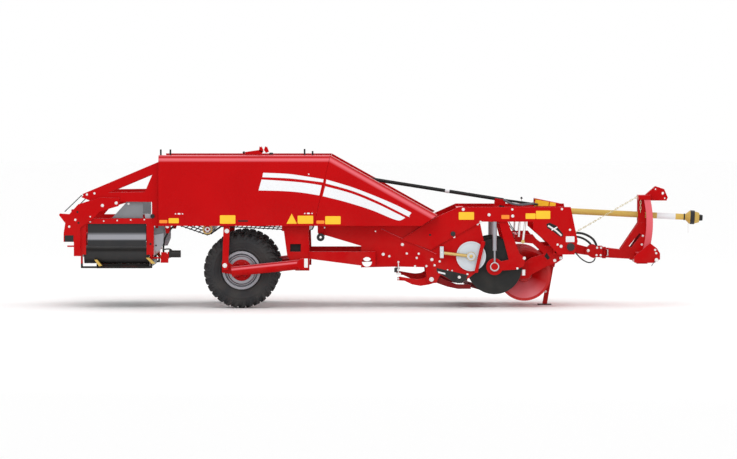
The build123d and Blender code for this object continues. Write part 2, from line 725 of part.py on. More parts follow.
with BuildPart() as gear_guard:
    with BuildSketch(Plane.XZ.offset(-GEAR_HALF - SKIN)):
        with BuildLine():
            Polyline((1693, 1000), (1693, 1208), (1980, 1150), (1980, 1060), (1920, 1000), close=True)
        make_face()
    extrude(amount=2 * (GEAR_HALF + SKIN))
    with BuildSketch(Plane.XZ.offset(-GEAR_HALF)):
        with BuildLine():
            Polyline((1600, 900), (1600, 1198), (1693, 1198), (2000, 1136), (2000, 900), close=True)
        make_face()
    extrude(amount=2 * GEAR_HALF, mode=Mode.SUBTRACT)
save(gear_guard.part, "gear_guard")

shaft_plane = Plane(
    origin=(SHAFT_X, 0, SHAFT_Z), x_dir=(0, 1, 0), z_dir=(1, 0, 0)
).rotated((0, -SHAFT_SLOPE, 0))
with BuildPart() as pto_cross:
    with Locations(shaft_plane.location):
        Box(30, 30, 30)
        Cylinder(9, 2 * EAR_IN + 24, rotation=(0, 90, 0))
        Cylinder(9, 2 * EAR_IN + 24, rotation=(90, 0, 0))
save(pto_cross.part, "pto_cross")

SHAFT_BORE = 17.5
YOKE_FACE = 84
SHAFT_CORE = 24
with BuildPart() as pto_yoke:
    for side in (-1, 1):
        with Locations(shaft_plane.location * Location((0, side * (EAR_IN + 6), 32))):
            Box(36, 12, 100)
        with Locations(shaft_plane.location * Location((0, side * (EAR_IN + 6), 0), (90, 0, 0))):
            Cylinder(9 + RUN, 14, mode=Mode.SUBTRACT)
    with BuildSketch(shaft_plane.offset(70)):
        Circle(44)
    extrude(amount=YOKE_FACE - 70)
save(pto_yoke.part, "pto_yoke")

CONE_BACK = SHAFT_LENGTH - 195
CONE_FRONT = SHAFT_LENGTH - 150
with BuildPart() as pto_shaft:
    with BuildSketch(shaft_plane.offset(YOKE_FACE + GAP)):
        Circle(SHAFT_CORE)
    extrude(amount=SHAFT_LENGTH - YOKE_FACE - 110 - GAP)
    with BuildSketch(shaft_plane.offset(SHAFT_LENGTH - 110)):
        Circle(30)
    extrude(amount=110)
    with BuildSketch(shaft_plane.offset(SHAFT_LENGTH - 90)):
        Circle(SHAFT_BORE)
    extrude(amount=100, mode=Mode.SUBTRACT)
save(pto_shaft.part, "pto_shaft")

with BuildPart() as pto_guard:
    with BuildSketch(shaft_plane.offset(YOKE_FACE)):
        Circle(GUARD_RADIUS)
    extrude(amount=CONE_BACK - YOKE_FACE)
    with BuildSketch(shaft_plane.offset(CONE_BACK)):
        Circle(GUARD_RADIUS)
    with BuildSketch(shaft_plane.offset(CONE_FRONT)):
        Circle(75)
    loft()
    with BuildSketch(shaft_plane.offset(CONE_FRONT)):
        Circle(75)
    extrude(amount=60)
    with BuildSketch(shaft_plane.offset(YOKE_FACE)):
        Circle(SHAFT_CORE + RUN)
    extrude(amount=CONE_FRONT + 10 - YOKE_FACE, mode=Mode.SUBTRACT)
    with BuildSketch(shaft_plane.offset(CONE_FRONT + 5)):
        Circle(68)
    extrude(amount=80, mode=Mode.SUBTRACT)
save(pto_guard.part, "pto_guard")

# Hitch: knuckle on the tongue, drawbar on the knuckle, headstock on the drawbar
FORK_LOW = PITCH_Z - 50
FORK_HIGH = PITCH_Z + 20
with BuildPart() as knuckle:
    for side in (-1, 1):
        with BuildSketch(Plane.XZ.offset(side * (TONGUE_HALF + 11) - 10)):
            with Locations((PITCH_X, PITCH_Z)):
                Circle(42)
            with BuildLine():
                Polyline(
                    (PITCH_X, PITCH_Z - 42), (PITCH_X, PITCH_Z + 34), (YAW_X - 60, FORK_HIGH - 3),
                    (YAW_X - 60, FORK_LOW + 3), close=True,
                )
            make_face()
        extrude(amount=20)
    with BuildSketch(across(PITCH_X, PITCH_Z).offset(-TONGUE_HALF - 30)):
        Circle(HINGE_PIN)
    extrude(amount=2 * (TONGUE_HALF + 30))
    with Locations((YAW_X - 90, 0, (FORK_LOW + FORK_HIGH) / 2)):
        Box(60, 2 * TONGUE_HALF + 42, FORK_HIGH - FORK_LOW - 6)
    with Locations((YAW_X - 40, 0, (FORK_LOW + FORK_HIGH) / 2)):
        Box(80, 60, FORK_HIGH - FORK_LOW - 6)
    with BuildSketch(Plane.XY.offset(FORK_LOW + 3)):
        with Locations((YAW_X, 0)):
            Circle(40)
    extrude(amount=FORK_HIGH - FORK_LOW - 6)
    with BuildSketch(Plane.XY.offset(FORK_LOW - 40)):
        with Locations((YAW_X, 0)):
            Circle(HINGE_PIN + RUN)
    extrude(amount=200, mode=Mode.SUBTRACT)
save(knuckle.part, "knuckle")

BEAM_X = YAW_X + 48
CROSS_BEAM_X = 2830
CROSS_BEAM_FRONT = 2950
CROSS_BEAM_LOW = 480
CROSS_BEAM_HIGH = 600
with BuildPart() as drawbar:
    for low in (FORK_LOW - 20, FORK_HIGH):
        with BuildSketch(Plane.XY.offset(low)):
            with Locations((YAW_X, 0)):
                Circle(45)
            with Locations(((YAW_X + BEAM_X) / 2 + 5, 0)):
                Rectangle(BEAM_X - YAW_X + 10, 90)
        extrude(amount=20)
    with BuildSketch(Plane.XY.offset(FORK_LOW - 30)):
        with Locations((YAW_X, 0)):
            Circle(HINGE_PIN)
    extrude(amount=FORK_HIGH - FORK_LOW + 60)
    with BuildSketch(Plane.XZ.offset(-DRAW_HALF)):
        with BuildLine():
            Polyline(
                (BEAM_X, FORK_LOW - 20), (BEAM_X, FORK_HIGH + 20), (CROSS_BEAM_X, CROSS_BEAM_HIGH + 10),
                (CROSS_BEAM_X, CROSS_BEAM_LOW + 40), close=True,
            )
        make_face()
    extrude(amount=2 * DRAW_HALF)
    with Locations(((CROSS_BEAM_X + CROSS_BEAM_FRONT) / 2, 0, (CROSS_BEAM_LOW + CROSS_BEAM_HIGH) / 2)):
        Box(CROSS_BEAM_FRONT - CROSS_BEAM_X, 2 * (LINK_SHOULDER - 20), CROSS_BEAM_HIGH - CROSS_BEAM_LOW)
    for side in (-1, 1):
        with BuildSketch(Plane.XZ.offset(side * (DRAW_HALF - 10) - 10)):
            with BuildLine():
                Polyline((2640, 600), (2864, 930), (2944, 930), (2944, 600), close=True)
            make_face()
            with BuildLine():
                Polyline((2762, 668), (2786, 650), (2905, 795), (2881, 813), close=True)
            make_face(mode=Mode.SUBTRACT)
        extrude(amount=20)
        with BuildSketch(Plane.XZ.offset(side * (LINK_SHOULDER - 10) - 10)):
            with BuildLine():
                Polyline(
                    (CROSS_BEAM_X - 30, 495), (CROSS_BEAM_X - 30, 560), (2978, 713), (LINK_X + 8, 655),
                    (LINK_X + 44, 596), (LINK_X + 44, 532), (LINK_X - 20, 490), (CROSS_BEAM_X, 490),
                    close=True,
                )
            make_face()
        extrude(amount=20)
        with BuildSketch(across(LINK_X, LINK_Z).offset(side * (LINK_SHOULDER + 45) - 45)):
            Circle(LINK_PIN)
        extrude(amount=90)
save(drawbar.part, "drawbar")

TOP_BLOCK_LOW = 1190
TOP_BLOCK_HIGH = 1244
LEG_FOOT_Y = 380
LEG_TOP_Y = 126
# Sections of a bowed leg: height, middle along the machine, half width
LEG_SECTIONS = [
    (CROSS_BEAM_HIGH, CROSS_BEAM_FRONT - 20, LEG_FOOT_Y),
    (900, CROSS_BEAM_FRONT + 34, 268),
    (TOP_BLOCK_LOW, CROSS_BEAM_FRONT + 16, LEG_TOP_Y),
]
with BuildPart() as headstock_legs:
    for side in (-1, 1):
        for height, middle, reach in LEG_SECTIONS:
            with BuildSketch(Plane.XY.offset(height)):
                with Locations((middle, side * reach)):
                    Rectangle(74, 50)
        loft()
save(headstock_legs.part, "headstock_legs")

STRUT_TOP = 930
with BuildPart() as headstock_mast:
    for side in (-1, 1):
        with Locations((2904, side * (DRAW_HALF - 10), (STRUT_TOP + TOP_BLOCK_LOW) / 2)):
            Box(80, 20, TOP_BLOCK_LOW - STRUT_TOP)
    with Locations((2935, 0, (TOP_BLOCK_LOW + TOP_BLOCK_HIGH) / 2)):
        Box(140, 2 * LEG_TOP_Y + 60, TOP_BLOCK_HIGH - TOP_BLOCK_LOW)
save(headstock_mast.part, "headstock_mast")

TOP_EAR_IN = 35
TOP_HOLE_X = 3150
TOP_HOLE_Z = 1262
with BuildPart() as top_link:
    for side in (-1, 1):
        with BuildSketch(Plane.XZ.offset(side * (TOP_EAR_IN + 10) - 10)):
            with BuildLine():
                Polyline(
                    (2950, TOP_BLOCK_HIGH), (3065, 1343), (3163, 1310), (3204, 1215), (3190, 1180),
                    (3005, 1180), (3005, TOP_BLOCK_HIGH), close=True,
                )
            make_face()
            with Locations((TOP_HOLE_X, TOP_HOLE_Z)):
                Circle(TOP_BORE, mode=Mode.SUBTRACT)
            with Locations((3068, 1308), (3172, 1206)):
                Circle(10, mode=Mode.SUBTRACT)
        extrude(amount=20)
    with Locations((3025, 0, 1240)):
        Box(40, 2 * TOP_EAR_IN, 80)
save(top_link.part, "top_link")

# Hose tube from the hood to the front frame, with its bracket and the hose on to the gear guard
TUBE_Y = -300
TUBE_START = Vector(-266, TUBE_Y, 1446)
TUBE_END = Vector(TOOL_TUBE_X + 20, TUBE_Y, 1193)
with BuildPart() as hose_tube:
    with BuildSketch(Plane(origin=TUBE_START, x_dir=(0, 1, 0), z_dir=TUBE_END - TUBE_START)):
        Circle(20)
    extrude(amount=(TUBE_END - TUBE_START).length)
    with Locations((TOOL_TUBE_X, TUBE_Y, (TUBE_END.Z + FRAME_TOP - 42) / 2)):
        Box(60, 60, TUBE_END.Z - FRAME_TOP + 42)
    with BuildLine() as hose_run:
        FilletPolyline(
            TUBE_END, (1720, TUBE_Y, 1140), (1720, -GEAR_HALF - SKIN - GAP, 1140), radius=110,
        )
    with BuildSketch(hose_run.wire() ^ 0):
        Circle(14)
    sweep()
save(hose_tube.part, "hose_tube")

# Grey drive disc with its side shaft on the right channel plate
DRIVE_X = 962
DRIVE_Z = 579
SIDE_SHAFT = Vector(302, 0, -37)
with BuildPart() as drive_disc:
    with BuildSketch(across(DRIVE_X, DRIVE_Z).offset(CHANNEL_OUT)):
        Circle(165)
    extrude(amount=18)
    with BuildSketch(across(DRIVE_X, DRIVE_Z).offset(CHANNEL_OUT + 18)):
        Circle(165)
        Circle(150, mode=Mode.SUBTRACT)
    extrude(amount=6)
    with BuildSketch(across(DRIVE_X, DRIVE_Z).offset(CHANNEL_OUT)):
        Circle(50)
    extrude(amount=60)
    with BuildSketch(
        Plane(
            origin=(DRIVE_X - SIDE_SHAFT.X, -CHANNEL_OUT - 42, DRIVE_Z - SIDE_SHAFT.Z),
            x_dir=(0, 1, 0), z_dir=SIDE_SHAFT,
        )
    ):
        Circle(16)
    extrude(amount=SIDE_SHAFT.length - 20)
    with Locations((DRIVE_X - SIDE_SHAFT.X - 24, -CHANNEL_OUT - 30, 624)):
        Box(40, 60, 128)
save(drive_disc.part, "drive_disc")

# Lever on the right hood
with BuildPart() as hood_lever:
    for x in (-1500, -1310):
        with Locations((x, -HOOD_OUT + 120, HOOD_TOP + 30)):
            Box(40, 40, 60)
    with BuildSketch(Plane.YZ.offset(-1562)):
        with Locations((-HOOD_OUT + 120, HOOD_TOP + 75)):
            Circle(17)
    extrude(amount=318)
save(hood_lever.part, "hood_lever")

# Rear arms, hangers and cross tube
ARM_PLATE_IN = 960
ARM_PLATE_OUT = CROSS_HALF
rear_arm = plate(
    [
        (HOOD_REAR, 1629), (-3359, 1269), (-3359, 1235), (-3247, 1191), (CROSS_FRONT, 1184),
        (CROSS_FRONT, HOOD_BOTTOM), (HOOD_REAR, HOOD_BOTTOM),
    ],
    ARM_PLATE_IN, ARM_PLATE_OUT,
    window=[(-3061, 1290), (-2658, 1296), (-2573, 1495)],
)
save_both(rear_arm, "rear_arm")

hanger = plate(
    [
        (-2940, 1230), (-3150, 1235), (-3395, 1160), (-3495, 1050), (-3600, 1058), (-3609, 1040),
        (-3540, 950), (-3558, 838), (-3558, 742), (-3445, 742), (-3445, 584), (CROSS_REAR, 584),
        (CROSS_REAR, 900), (-3227, 1000), (-3158, 1079), (-2949, 1139),
    ],
    ARM_PLATE_OUT, ARM_PLATE_OUT + 25,
)
with BuildPart() as rear_hanger:
    with BuildSketch(Plane.XZ.offset(-ARM_PLATE_OUT)):
        with Locations((-3502, 790)):
            Rectangle(96, 80)
            Rectangle(80, 64, mode=Mode.SUBTRACT)
    extrude(amount=2 * ARM_PLATE_OUT)
    add(hanger)
    add(mirror(hanger, about=Plane.XZ))
save(rear_hanger.part, "rear_hanger")

# Cross conveyor: two walls, end posts, tray, belt loop, aprons, motor on a bracket
MOTOR_Y = -890
MOTOR_Z = 605
BRACKET_FRONT = CROSS_FRONT + 186
TRAY_LENGTH = 590
TRAY_HALF = CROSS_HALF - 90
with BuildPart() as cross_frame:
    with Locations((CROSS_FRONT - 30 - TRAY_LENGTH / 2, 0, 470)):
        Box(TRAY_LENGTH, 2 * TRAY_HALF, 50)
    with Locations((CROSS_FRONT - 30 - TRAY_LENGTH / 2, 0, 480)):
        Box(TRAY_LENGTH - 20, 2 * TRAY_HALF - 20, 50, mode=Mode.SUBTRACT)
    with Locations(((CROSS_FRONT + BRACKET_FRONT) / 2, MOTOR_Y, 562)):
        Box(BRACKET_FRONT - CROSS_FRONT, 100, 16)
    with Locations((CROSS_FRONT + 8, MOTOR_Y, 590), (BRACKET_FRONT - 8, MOTOR_Y, 590)):
        Box(16, 100, 72)
    with Locations((CROSS_REAR + 10, 0, 700)):
        Box(20, 2 * CROSS_HALF, 232)
    with Locations((CROSS_FRONT - 10, 0, 640)):
        Box(20, 2 * CROSS_HALF, 130)
    for side in (-1, 1):
        with Locations((CROSS_FRONT + 10, side * (ARM_PLATE_IN + 20), (600 + HOOD_BOTTOM) / 2)):
            Box(20, 40, HOOD_BOTTOM - 600)
        for x in (CROSS_REAR + 30, CROSS_FRONT - 30):
            with Locations((x, side * (CROSS_HALF - 10), 800)):
                Box(60, 20, 400)
        with Locations(((CROSS_REAR + CROSS_FRONT) / 2, side * (CROSS_HALF - 10), 972)):
            Box(CROSS_FRONT - CROSS_REAR, 20, 60)
        with Locations(((CROSS_REAR + CROSS_FRONT) / 2, side * (CROSS_HALF - 60), 459)):
            Box(CROSS_FRONT - CROSS_REAR, 60, 20)
        for x in (CROSS_REAR + 10, CROSS_FRONT - 10):
            with Locations((x, side * (CROSS_HALF - 60), 530)):
                Box(20, 60, 130)
save(cross_frame.part, "cross_frame")

CROSS_BELT_HALF = 965
CROSS_BELT_RADIUS = 95
with BuildPart() as cross_belt:
    with BuildSketch(Plane.YZ.offset(CROSS_REAR + 35)):
        with Locations((0, BELT_Z)):
            SlotOverall(2 * CROSS_BELT_HALF, 2 * CROSS_BELT_RADIUS)
            SlotOverall(2 * CROSS_BELT_HALF - 24, 2 * CROSS_BELT_RADIUS - 24, mode=Mode.SUBTRACT)
    extrude(amount=CROSS_FRONT - CROSS_REAR - 70)
save(cross_belt.part, "cross_belt")

with BuildPart() as cross_rollers:
    for side in (-1, 1):
        with BuildSketch(Plane.YZ.offset(CROSS_REAR + 20)):
            with Locations((side * (CROSS_BELT_HALF - CROSS_BELT_RADIUS), BELT_Z)):
                Circle(24)
        extrude(amount=CROSS_FRONT - CROSS_REAR - 40)
        with BuildSketch(Plane.YZ.offset(CROSS_REAR + 40)):
            with Locations((side * (CROSS_BELT_HALF - CROSS_BELT_RADIUS), BELT_Z)):
                Circle(CROSS_BELT_RADIUS - 12 - 1)
        extrude(amount=CROSS_FRONT - CROSS_REAR - 80)
save(cross_rollers.part, "cross_rollers")

with BuildPart() as motor:
    with Locations((BRACKET_FRONT + 10, MOTOR_Y, MOTOR_Z)):
        Box(20, 84, 84)
    with BuildSketch(Plane.YZ.offset(BRACKET_FRONT + 20)):
        with Locations((MOTOR_Y, MOTOR_Z)):
            Circle(40)
    extrude(amount=109)
save(motor.part, "cross_motor")

# Aprons that hang at both ends of the conveyor, and the flap under the rear arms
APRON = 6
with BuildPart() as aprons:
    for side in (-1, 1):
        with Locations(((CROSS_REAR + CROSS_FRONT) / 2, side * (CROSS_HALF - 20 - APRON / 2), 840)):
            Box(CROSS_FRONT - CROSS_REAR - 130, APRON, 240)
save(aprons.part, "cross_aprons")

flap = plate(
    [(-2870, 1230), (-2682, 1230), (-2682, 1005), (-3026, 1005), (-2870, 1173)],
    ARM_PLATE_IN - 10, ARM_PLATE_IN,
)
save_both(flap, "guide_flap")

# Holding chain from the front box up to the headstock
CHAIN_LOW = Vector(BOX_FRONT + 2.4, -150, BOX_TOP + 45)
CHAIN_HIGH = Vector(2857.6, -110, 1226)
CHAIN_RUN = CHAIN_HIGH - CHAIN_LOW
CHAIN_LINKS = 29
CHAIN_PITCH = CHAIN_RUN.length / CHAIN_LINKS
CHAIN_BAR = 6
# A link reaches this far into the next one, so that they bear on each other
CHAIN_BITE = 0.3
with BuildPart() as link:
    Box(20, CHAIN_BAR, CHAIN_PITCH - CHAIN_BITE + 2 * CHAIN_BAR)
    Box(8, CHAIN_BAR, CHAIN_PITCH - CHAIN_BITE, mode=Mode.SUBTRACT)
links = []
for step in range(CHAIN_LINKS):
    spot = CHAIN_LOW + CHAIN_RUN * ((step + 0.5) / CHAIN_LINKS)
    level = CHAIN_RUN.cross(Vector(0, 0, 1))
    place = Plane(origin=spot, x_dir=level, z_dir=CHAIN_RUN)
    links.append(place.location * Rot(0, 0, 90 * (step % 2)) * link.part)
with BuildPart() as chain:
    add(links)
save(chain.part, "chain")

# Hoses from the front box to the knuckle
# Name: radius, bend radius, route
HOSES = {
    "hose_upper": (
        11, 90, [
            (BOX_REAR + 50, -100, BOX_TOP + GAP), (BOX_REAR + 50, -100, 816), (PITCH_X, -80, 816),
            (YAW_X - 90, -30, 725), (YAW_X - 90, -30, FORK_HIGH - 3 + GAP),
        ],
    ),
    "hose_lower": (
        7, 70, [
            (BOX_FRONT + GAP, -120, 650), (BOX_FRONT + 120, -120, 650), (BOX_FRONT + 180, -90, 500),
            (YAW_X - 90, -30, 468), (YAW_X - 90, -30, FORK_LOW + 3 - GAP),
        ],
    ),
}
for name, (radius, bend, points) in HOSES.items():
    with BuildPart() as hose:
        with BuildLine() as route:
            FilletPolyline(*points, radius=bend)
        with BuildSketch(route.wire() ^ 0):
            Circle(radius)
        sweep()
    save(hose.part, name)
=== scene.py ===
# %% [markdown]
# # A trailed windrower, dressed around its CAD frame
# The CAD part gives every main form of the machine in metres: +X is forward, +Y is
# left and +Z is up. This script keeps those forms, gives each one a finish made of
# shader nodes, and adds what is too fine for CAD: tread, rods, bolts, films, hoses.

# %% Load the CAD frame
import json
import math

import bpy
from mathutils import Matrix, Vector


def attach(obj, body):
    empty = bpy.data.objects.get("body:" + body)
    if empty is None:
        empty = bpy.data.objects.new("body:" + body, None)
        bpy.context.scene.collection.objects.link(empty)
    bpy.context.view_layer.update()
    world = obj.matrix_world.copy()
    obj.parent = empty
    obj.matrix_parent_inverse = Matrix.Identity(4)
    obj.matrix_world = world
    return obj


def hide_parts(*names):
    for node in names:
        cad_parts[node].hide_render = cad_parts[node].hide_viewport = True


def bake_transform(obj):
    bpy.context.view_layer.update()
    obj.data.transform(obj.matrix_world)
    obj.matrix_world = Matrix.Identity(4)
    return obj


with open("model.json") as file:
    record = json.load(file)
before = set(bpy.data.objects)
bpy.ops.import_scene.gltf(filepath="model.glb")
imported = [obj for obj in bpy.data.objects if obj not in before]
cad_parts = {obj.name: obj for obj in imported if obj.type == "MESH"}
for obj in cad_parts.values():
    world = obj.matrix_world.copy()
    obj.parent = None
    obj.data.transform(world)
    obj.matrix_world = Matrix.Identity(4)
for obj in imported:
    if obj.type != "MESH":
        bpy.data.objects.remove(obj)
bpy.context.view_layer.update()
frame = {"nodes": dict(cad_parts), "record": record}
nodes = frame["nodes"]

# %% [markdown]
# ## The camera
# The photograph was taken from far away with a long lens, so the near and the far
# wheel have almost the same size. A 220 mm lens 50 m from the near wheel gives that
# view. The camera stands 2.25 m high and looks down by about one and a half degrees.

# %% Camera
CAMERA_FROM = Vector((-0.183, -50.93, 2.25))
CAMERA_AT = Vector((-0.178, -0.93, 0.877))
LENS_MM, FAR_END = 220, 400

bpy.ops.object.select_all(action="DESELECT")
bpy.ops.object.camera_add(location=CAMERA_FROM)
camera = bpy.context.object
camera.rotation_euler = (CAMERA_AT - CAMERA_FROM).to_track_quat("-Z", "Y").to_euler()
camera.data.lens = LENS_MM
camera.data.sensor_fit = "HORIZONTAL"
camera.data.clip_end = FAR_END
bpy.context.scene.camera = camera
print("camera looks down by", round(math.degrees(camera.rotation_euler.x) - 90, 2), "degrees")

# %% [markdown]
# ## Floor and light
# The machine stands on a plain pale floor under soft studio light. A white sky lights
# it from all round. A large lamp above the near side gives the panels a soft shine, and
# a weaker one fills the far side. The pale bands of shine on faces that look up are
# painted highlight in the finishes. The Standard view keeps the red as strong as it is
# on the real paint.

# %% Floor, sky and lamps
FLOOR_SIZE = 260
FLOOR_LOOK = {"Base Color": (0.99, 0.99, 0.99, 1), "Roughness": 0.9, "Specular IOR Level": 0.1}
SKY_LOOK = {"Color": (1.0, 1.0, 1.0, 1.0), "Strength": 1.0}
LAMP_AIM = Vector((0.0, 0.0, 0.9))
# Lamps: place, size in metres, watts
LAMPS = [((-2.0, -9.0, 8.5), 5.0, 260), ((4.0, 8.0, 7.0), 6.0, 120)]

bpy.ops.object.select_all(action="DESELECT")
bpy.ops.mesh.primitive_plane_add(size=FLOOR_SIZE)
floor = bpy.context.object
floor.name = "floor"
floor_paint = bpy.data.materials.new("pale_floor")
floor_paint.use_nodes = True
for label, value in FLOOR_LOOK.items():
    floor_paint.node_tree.nodes["Principled BSDF"].inputs[label].default_value = value
floor.data.materials.append(floor_paint)

sky = bpy.data.worlds.new("studio_sky")
sky.use_nodes = True
for label, value in SKY_LOOK.items():
    sky.node_tree.nodes["Background"].inputs[label].default_value = value
bpy.context.scene.world = sky
bpy.context.scene.view_settings.view_transform = "Standard"

for place, size, watts in LAMPS:
    bpy.ops.object.light_add(type="AREA", location=place)
    lamp = bpy.context.object
    lamp.data.size = size
    lamp.data.energy = watts
    lamp.rotation_euler = (LAMP_AIM - Vector(place)).to_track_quat("-Z", "Y").to_euler()
print("lamps:", len(LAMPS))

# %% [markdown]
# ## Effects that the finishes share
# Three effects turn up on nearly every surface, so each one is a node group:
# rounded edges that turn lighter in broken patches, partly a little wear and partly a
# painted edge highlight, dust that settles low down and on upper faces, and a slow
# mottle with a fine grain. A group keeps the same idea in one place, and each
# material only sets how strong it is.

# %% Node groups
FLOAT, VECTOR = "NodeSocketFloat", "NodeSocketVector"


def node_group(name, inputs, outputs):
    """An empty shader group with its named sockets; returns the tree and its two ends."""
    tree = bpy.data.node_groups.new(name, "ShaderNodeTree")
    for label, value in inputs:
        socket = tree.interface.new_socket(label, in_out="INPUT", socket_type=FLOAT)
        socket.default_value = value
    for label, kind in outputs:
        tree.interface.new_socket(label, in_out="OUTPUT", socket_type=kind)
    return tree, tree.nodes.new("NodeGroupInput"), tree.nodes.new("NodeGroupOutput")


def feed(tree, value, socket):
    """Links another node's output to a socket, or sets the socket to a plain value."""
    if isinstance(value, bpy.types.NodeSocket):
        tree.links.new(value, socket)
    else:
        socket.default_value = value


def maths(tree, kind, first, second):
    """A Math node; each input is a socket to link or a number."""
    node = tree.nodes.new("ShaderNodeMath")
    node.operation = kind
    feed(tree, first, node.inputs[0])
    feed(tree, second, node.inputs[1])
    return node.outputs[0]


def spread(tree, value, low, high):
    """Map Range from low..high to 0..1, held inside those ends."""
    node = tree.nodes.new("ShaderNodeMapRange")
    tree.links.new(value, node.inputs["Value"])
    node.inputs["From Min"].default_value = low
    node.inputs["From Max"].default_value = high
    return node.outputs["Result"]


def own_place(tree):
    """The place on the surface, in the piece's own coordinates."""
    return tree.nodes.new("ShaderNodeTexCoord").outputs["Object"]


def axes_of(tree, vector):
    """The X, Y and Z of a vector, as sockets."""
    node = tree.nodes.new("ShaderNodeSeparateXYZ")
    tree.links.new(vector, node.inputs[0])
    return node.outputs


def noise(tree, scale, detail=3.0):
    """Noise on the piece's own coordinates; scale is a socket or a number."""
    node = tree.nodes.new("ShaderNodeTexNoise")
    node.inputs["Detail"].default_value = detail
    tree.links.new(own_place(tree), node.inputs["Vector"])
    feed(tree, scale, node.inputs["Scale"])
    return node.outputs["Fac"]


soft_edges, enter, leave = node_group(
    "soft_edges", [("Radius", 0.004), ("Wear", 0.3)], [("Normal", VECTOR), ("Edge", FLOAT)]
)
round_off = soft_edges.nodes.new("ShaderNodeBevel")
round_off.samples = 4
soft_edges.links.new(enter.outputs["Radius"], round_off.inputs["Radius"])
surface = soft_edges.nodes.new("ShaderNodeNewGeometry")
turn = soft_edges.nodes.new("ShaderNodeVectorMath")
turn.operation = "DOT_PRODUCT"
soft_edges.links.new(round_off.outputs["Normal"], turn.inputs[0])
soft_edges.links.new(surface.outputs["Normal"], turn.inputs[1])
# Edge mask: where a finish turns lighter, partly a little wear and partly a painted edge highlight
bare = spread(soft_edges, turn.outputs["Value"], 0.995, 0.86)
broken = spread(soft_edges, noise(soft_edges, 14.0), 0.42, 0.62)
worn = maths(soft_edges, "MULTIPLY", maths(soft_edges, "MULTIPLY", bare, broken), enter.outputs["Wear"])
soft_edges.links.new(round_off.outputs["Normal"], leave.inputs["Normal"])
soft_edges.links.new(worn, leave.inputs["Edge"])

field_dust, enter, leave = node_group("field_dust", [("Amount", 0.3), ("Reach", 1.2)], [("Mask", FLOAT)])
surface = field_dust.nodes.new("ShaderNodeNewGeometry")
height = axes_of(field_dust, own_place(field_dust))["Z"]
facing = axes_of(field_dust, surface.outputs["Normal"])["Z"]
reached = maths(field_dust, "DIVIDE", height, enter.outputs["Reach"])
low_down = maths(field_dust, "MAXIMUM", maths(field_dust, "SUBTRACT", 1.0, reached), 0.0)
upward = maths(field_dust, "MULTIPLY", spread(field_dust, facing, 0.2, 1.0), 0.5)
cloud = spread(field_dust, noise(field_dust, 5.0, 6.0), 0.38, 0.72)
settled = maths(field_dust, "MULTIPLY", maths(field_dust, "ADD", low_down, upward), cloud)
settled = maths(field_dust, "MULTIPLY", settled, enter.outputs["Amount"])
field_dust.links.new(maths(field_dust, "MINIMUM", settled, 0.8), leave.inputs["Mask"])

grain, enter, leave = node_group("grain", [("Scale", 300.0)], [("Height", FLOAT), ("Mottle", FLOAT)])
grain.links.new(noise(grain, enter.outputs["Scale"], 2.0), leave.inputs["Height"])
grain.links.new(spread(grain, noise(grain, 2.2, 4.0), 0.3, 0.7), leave.inputs["Mottle"])
print("node groups:", [group.name for group in (soft_edges, field_dust, grain)])

# %% [markdown]
# ## Finishes
# A finish here is enamel, rubber, zinc or plastic. They differ in colour, gloss, grain
# and wear, but the way light and dirt act on them is the same, so one function builds
# them all from a table. The colour swings a little with the mottle, the edges turn
# lighter in broken patches, and dust dulls the gloss where it lies. A lighter edge is
# wear where a finish gives the colour under its paint. Otherwise it is only a paler tint
# of the colour, a painted edge highlight. Some finishes also get a painted highlight
# in a pale colour on faces that look up.

# %% Finishes table
DUST = (0.36, 0.29, 0.22, 1)
GRAIN_DEPTH, LINE_SOFT = 0.0004, 0.001
MOTTLE_ROUGH, DUST_ROUGH = 0.08, 0.3
# Upward tilt of a face where the painted highlight comes, goes and comes back
HIGHLIGHT_COMES, HIGHLIGHT_GOES, HIGHLIGHT_BACK = (0.15, 0.42), (0.72, 0.55), (0.80, 0.95)


def group_node(tree, group, **values):
    """One of the shared effects, placed in a material with its own values."""
    node = tree.nodes.new("ShaderNodeGroup")
    node.node_tree = group
    for label, value in values.items():
        node.inputs[label].default_value = value
    return node


def mixed(tree, mask, first, second):
    """A colour mix; first and second are colours or sockets."""
    node = tree.nodes.new("ShaderNodeMix")
    node.data_type = "RGBA"
    tree.links.new(mask, node.inputs["Factor"])
    feed(tree, first, node.inputs[6])
    feed(tree, second, node.inputs[7])
    return node.outputs[2]


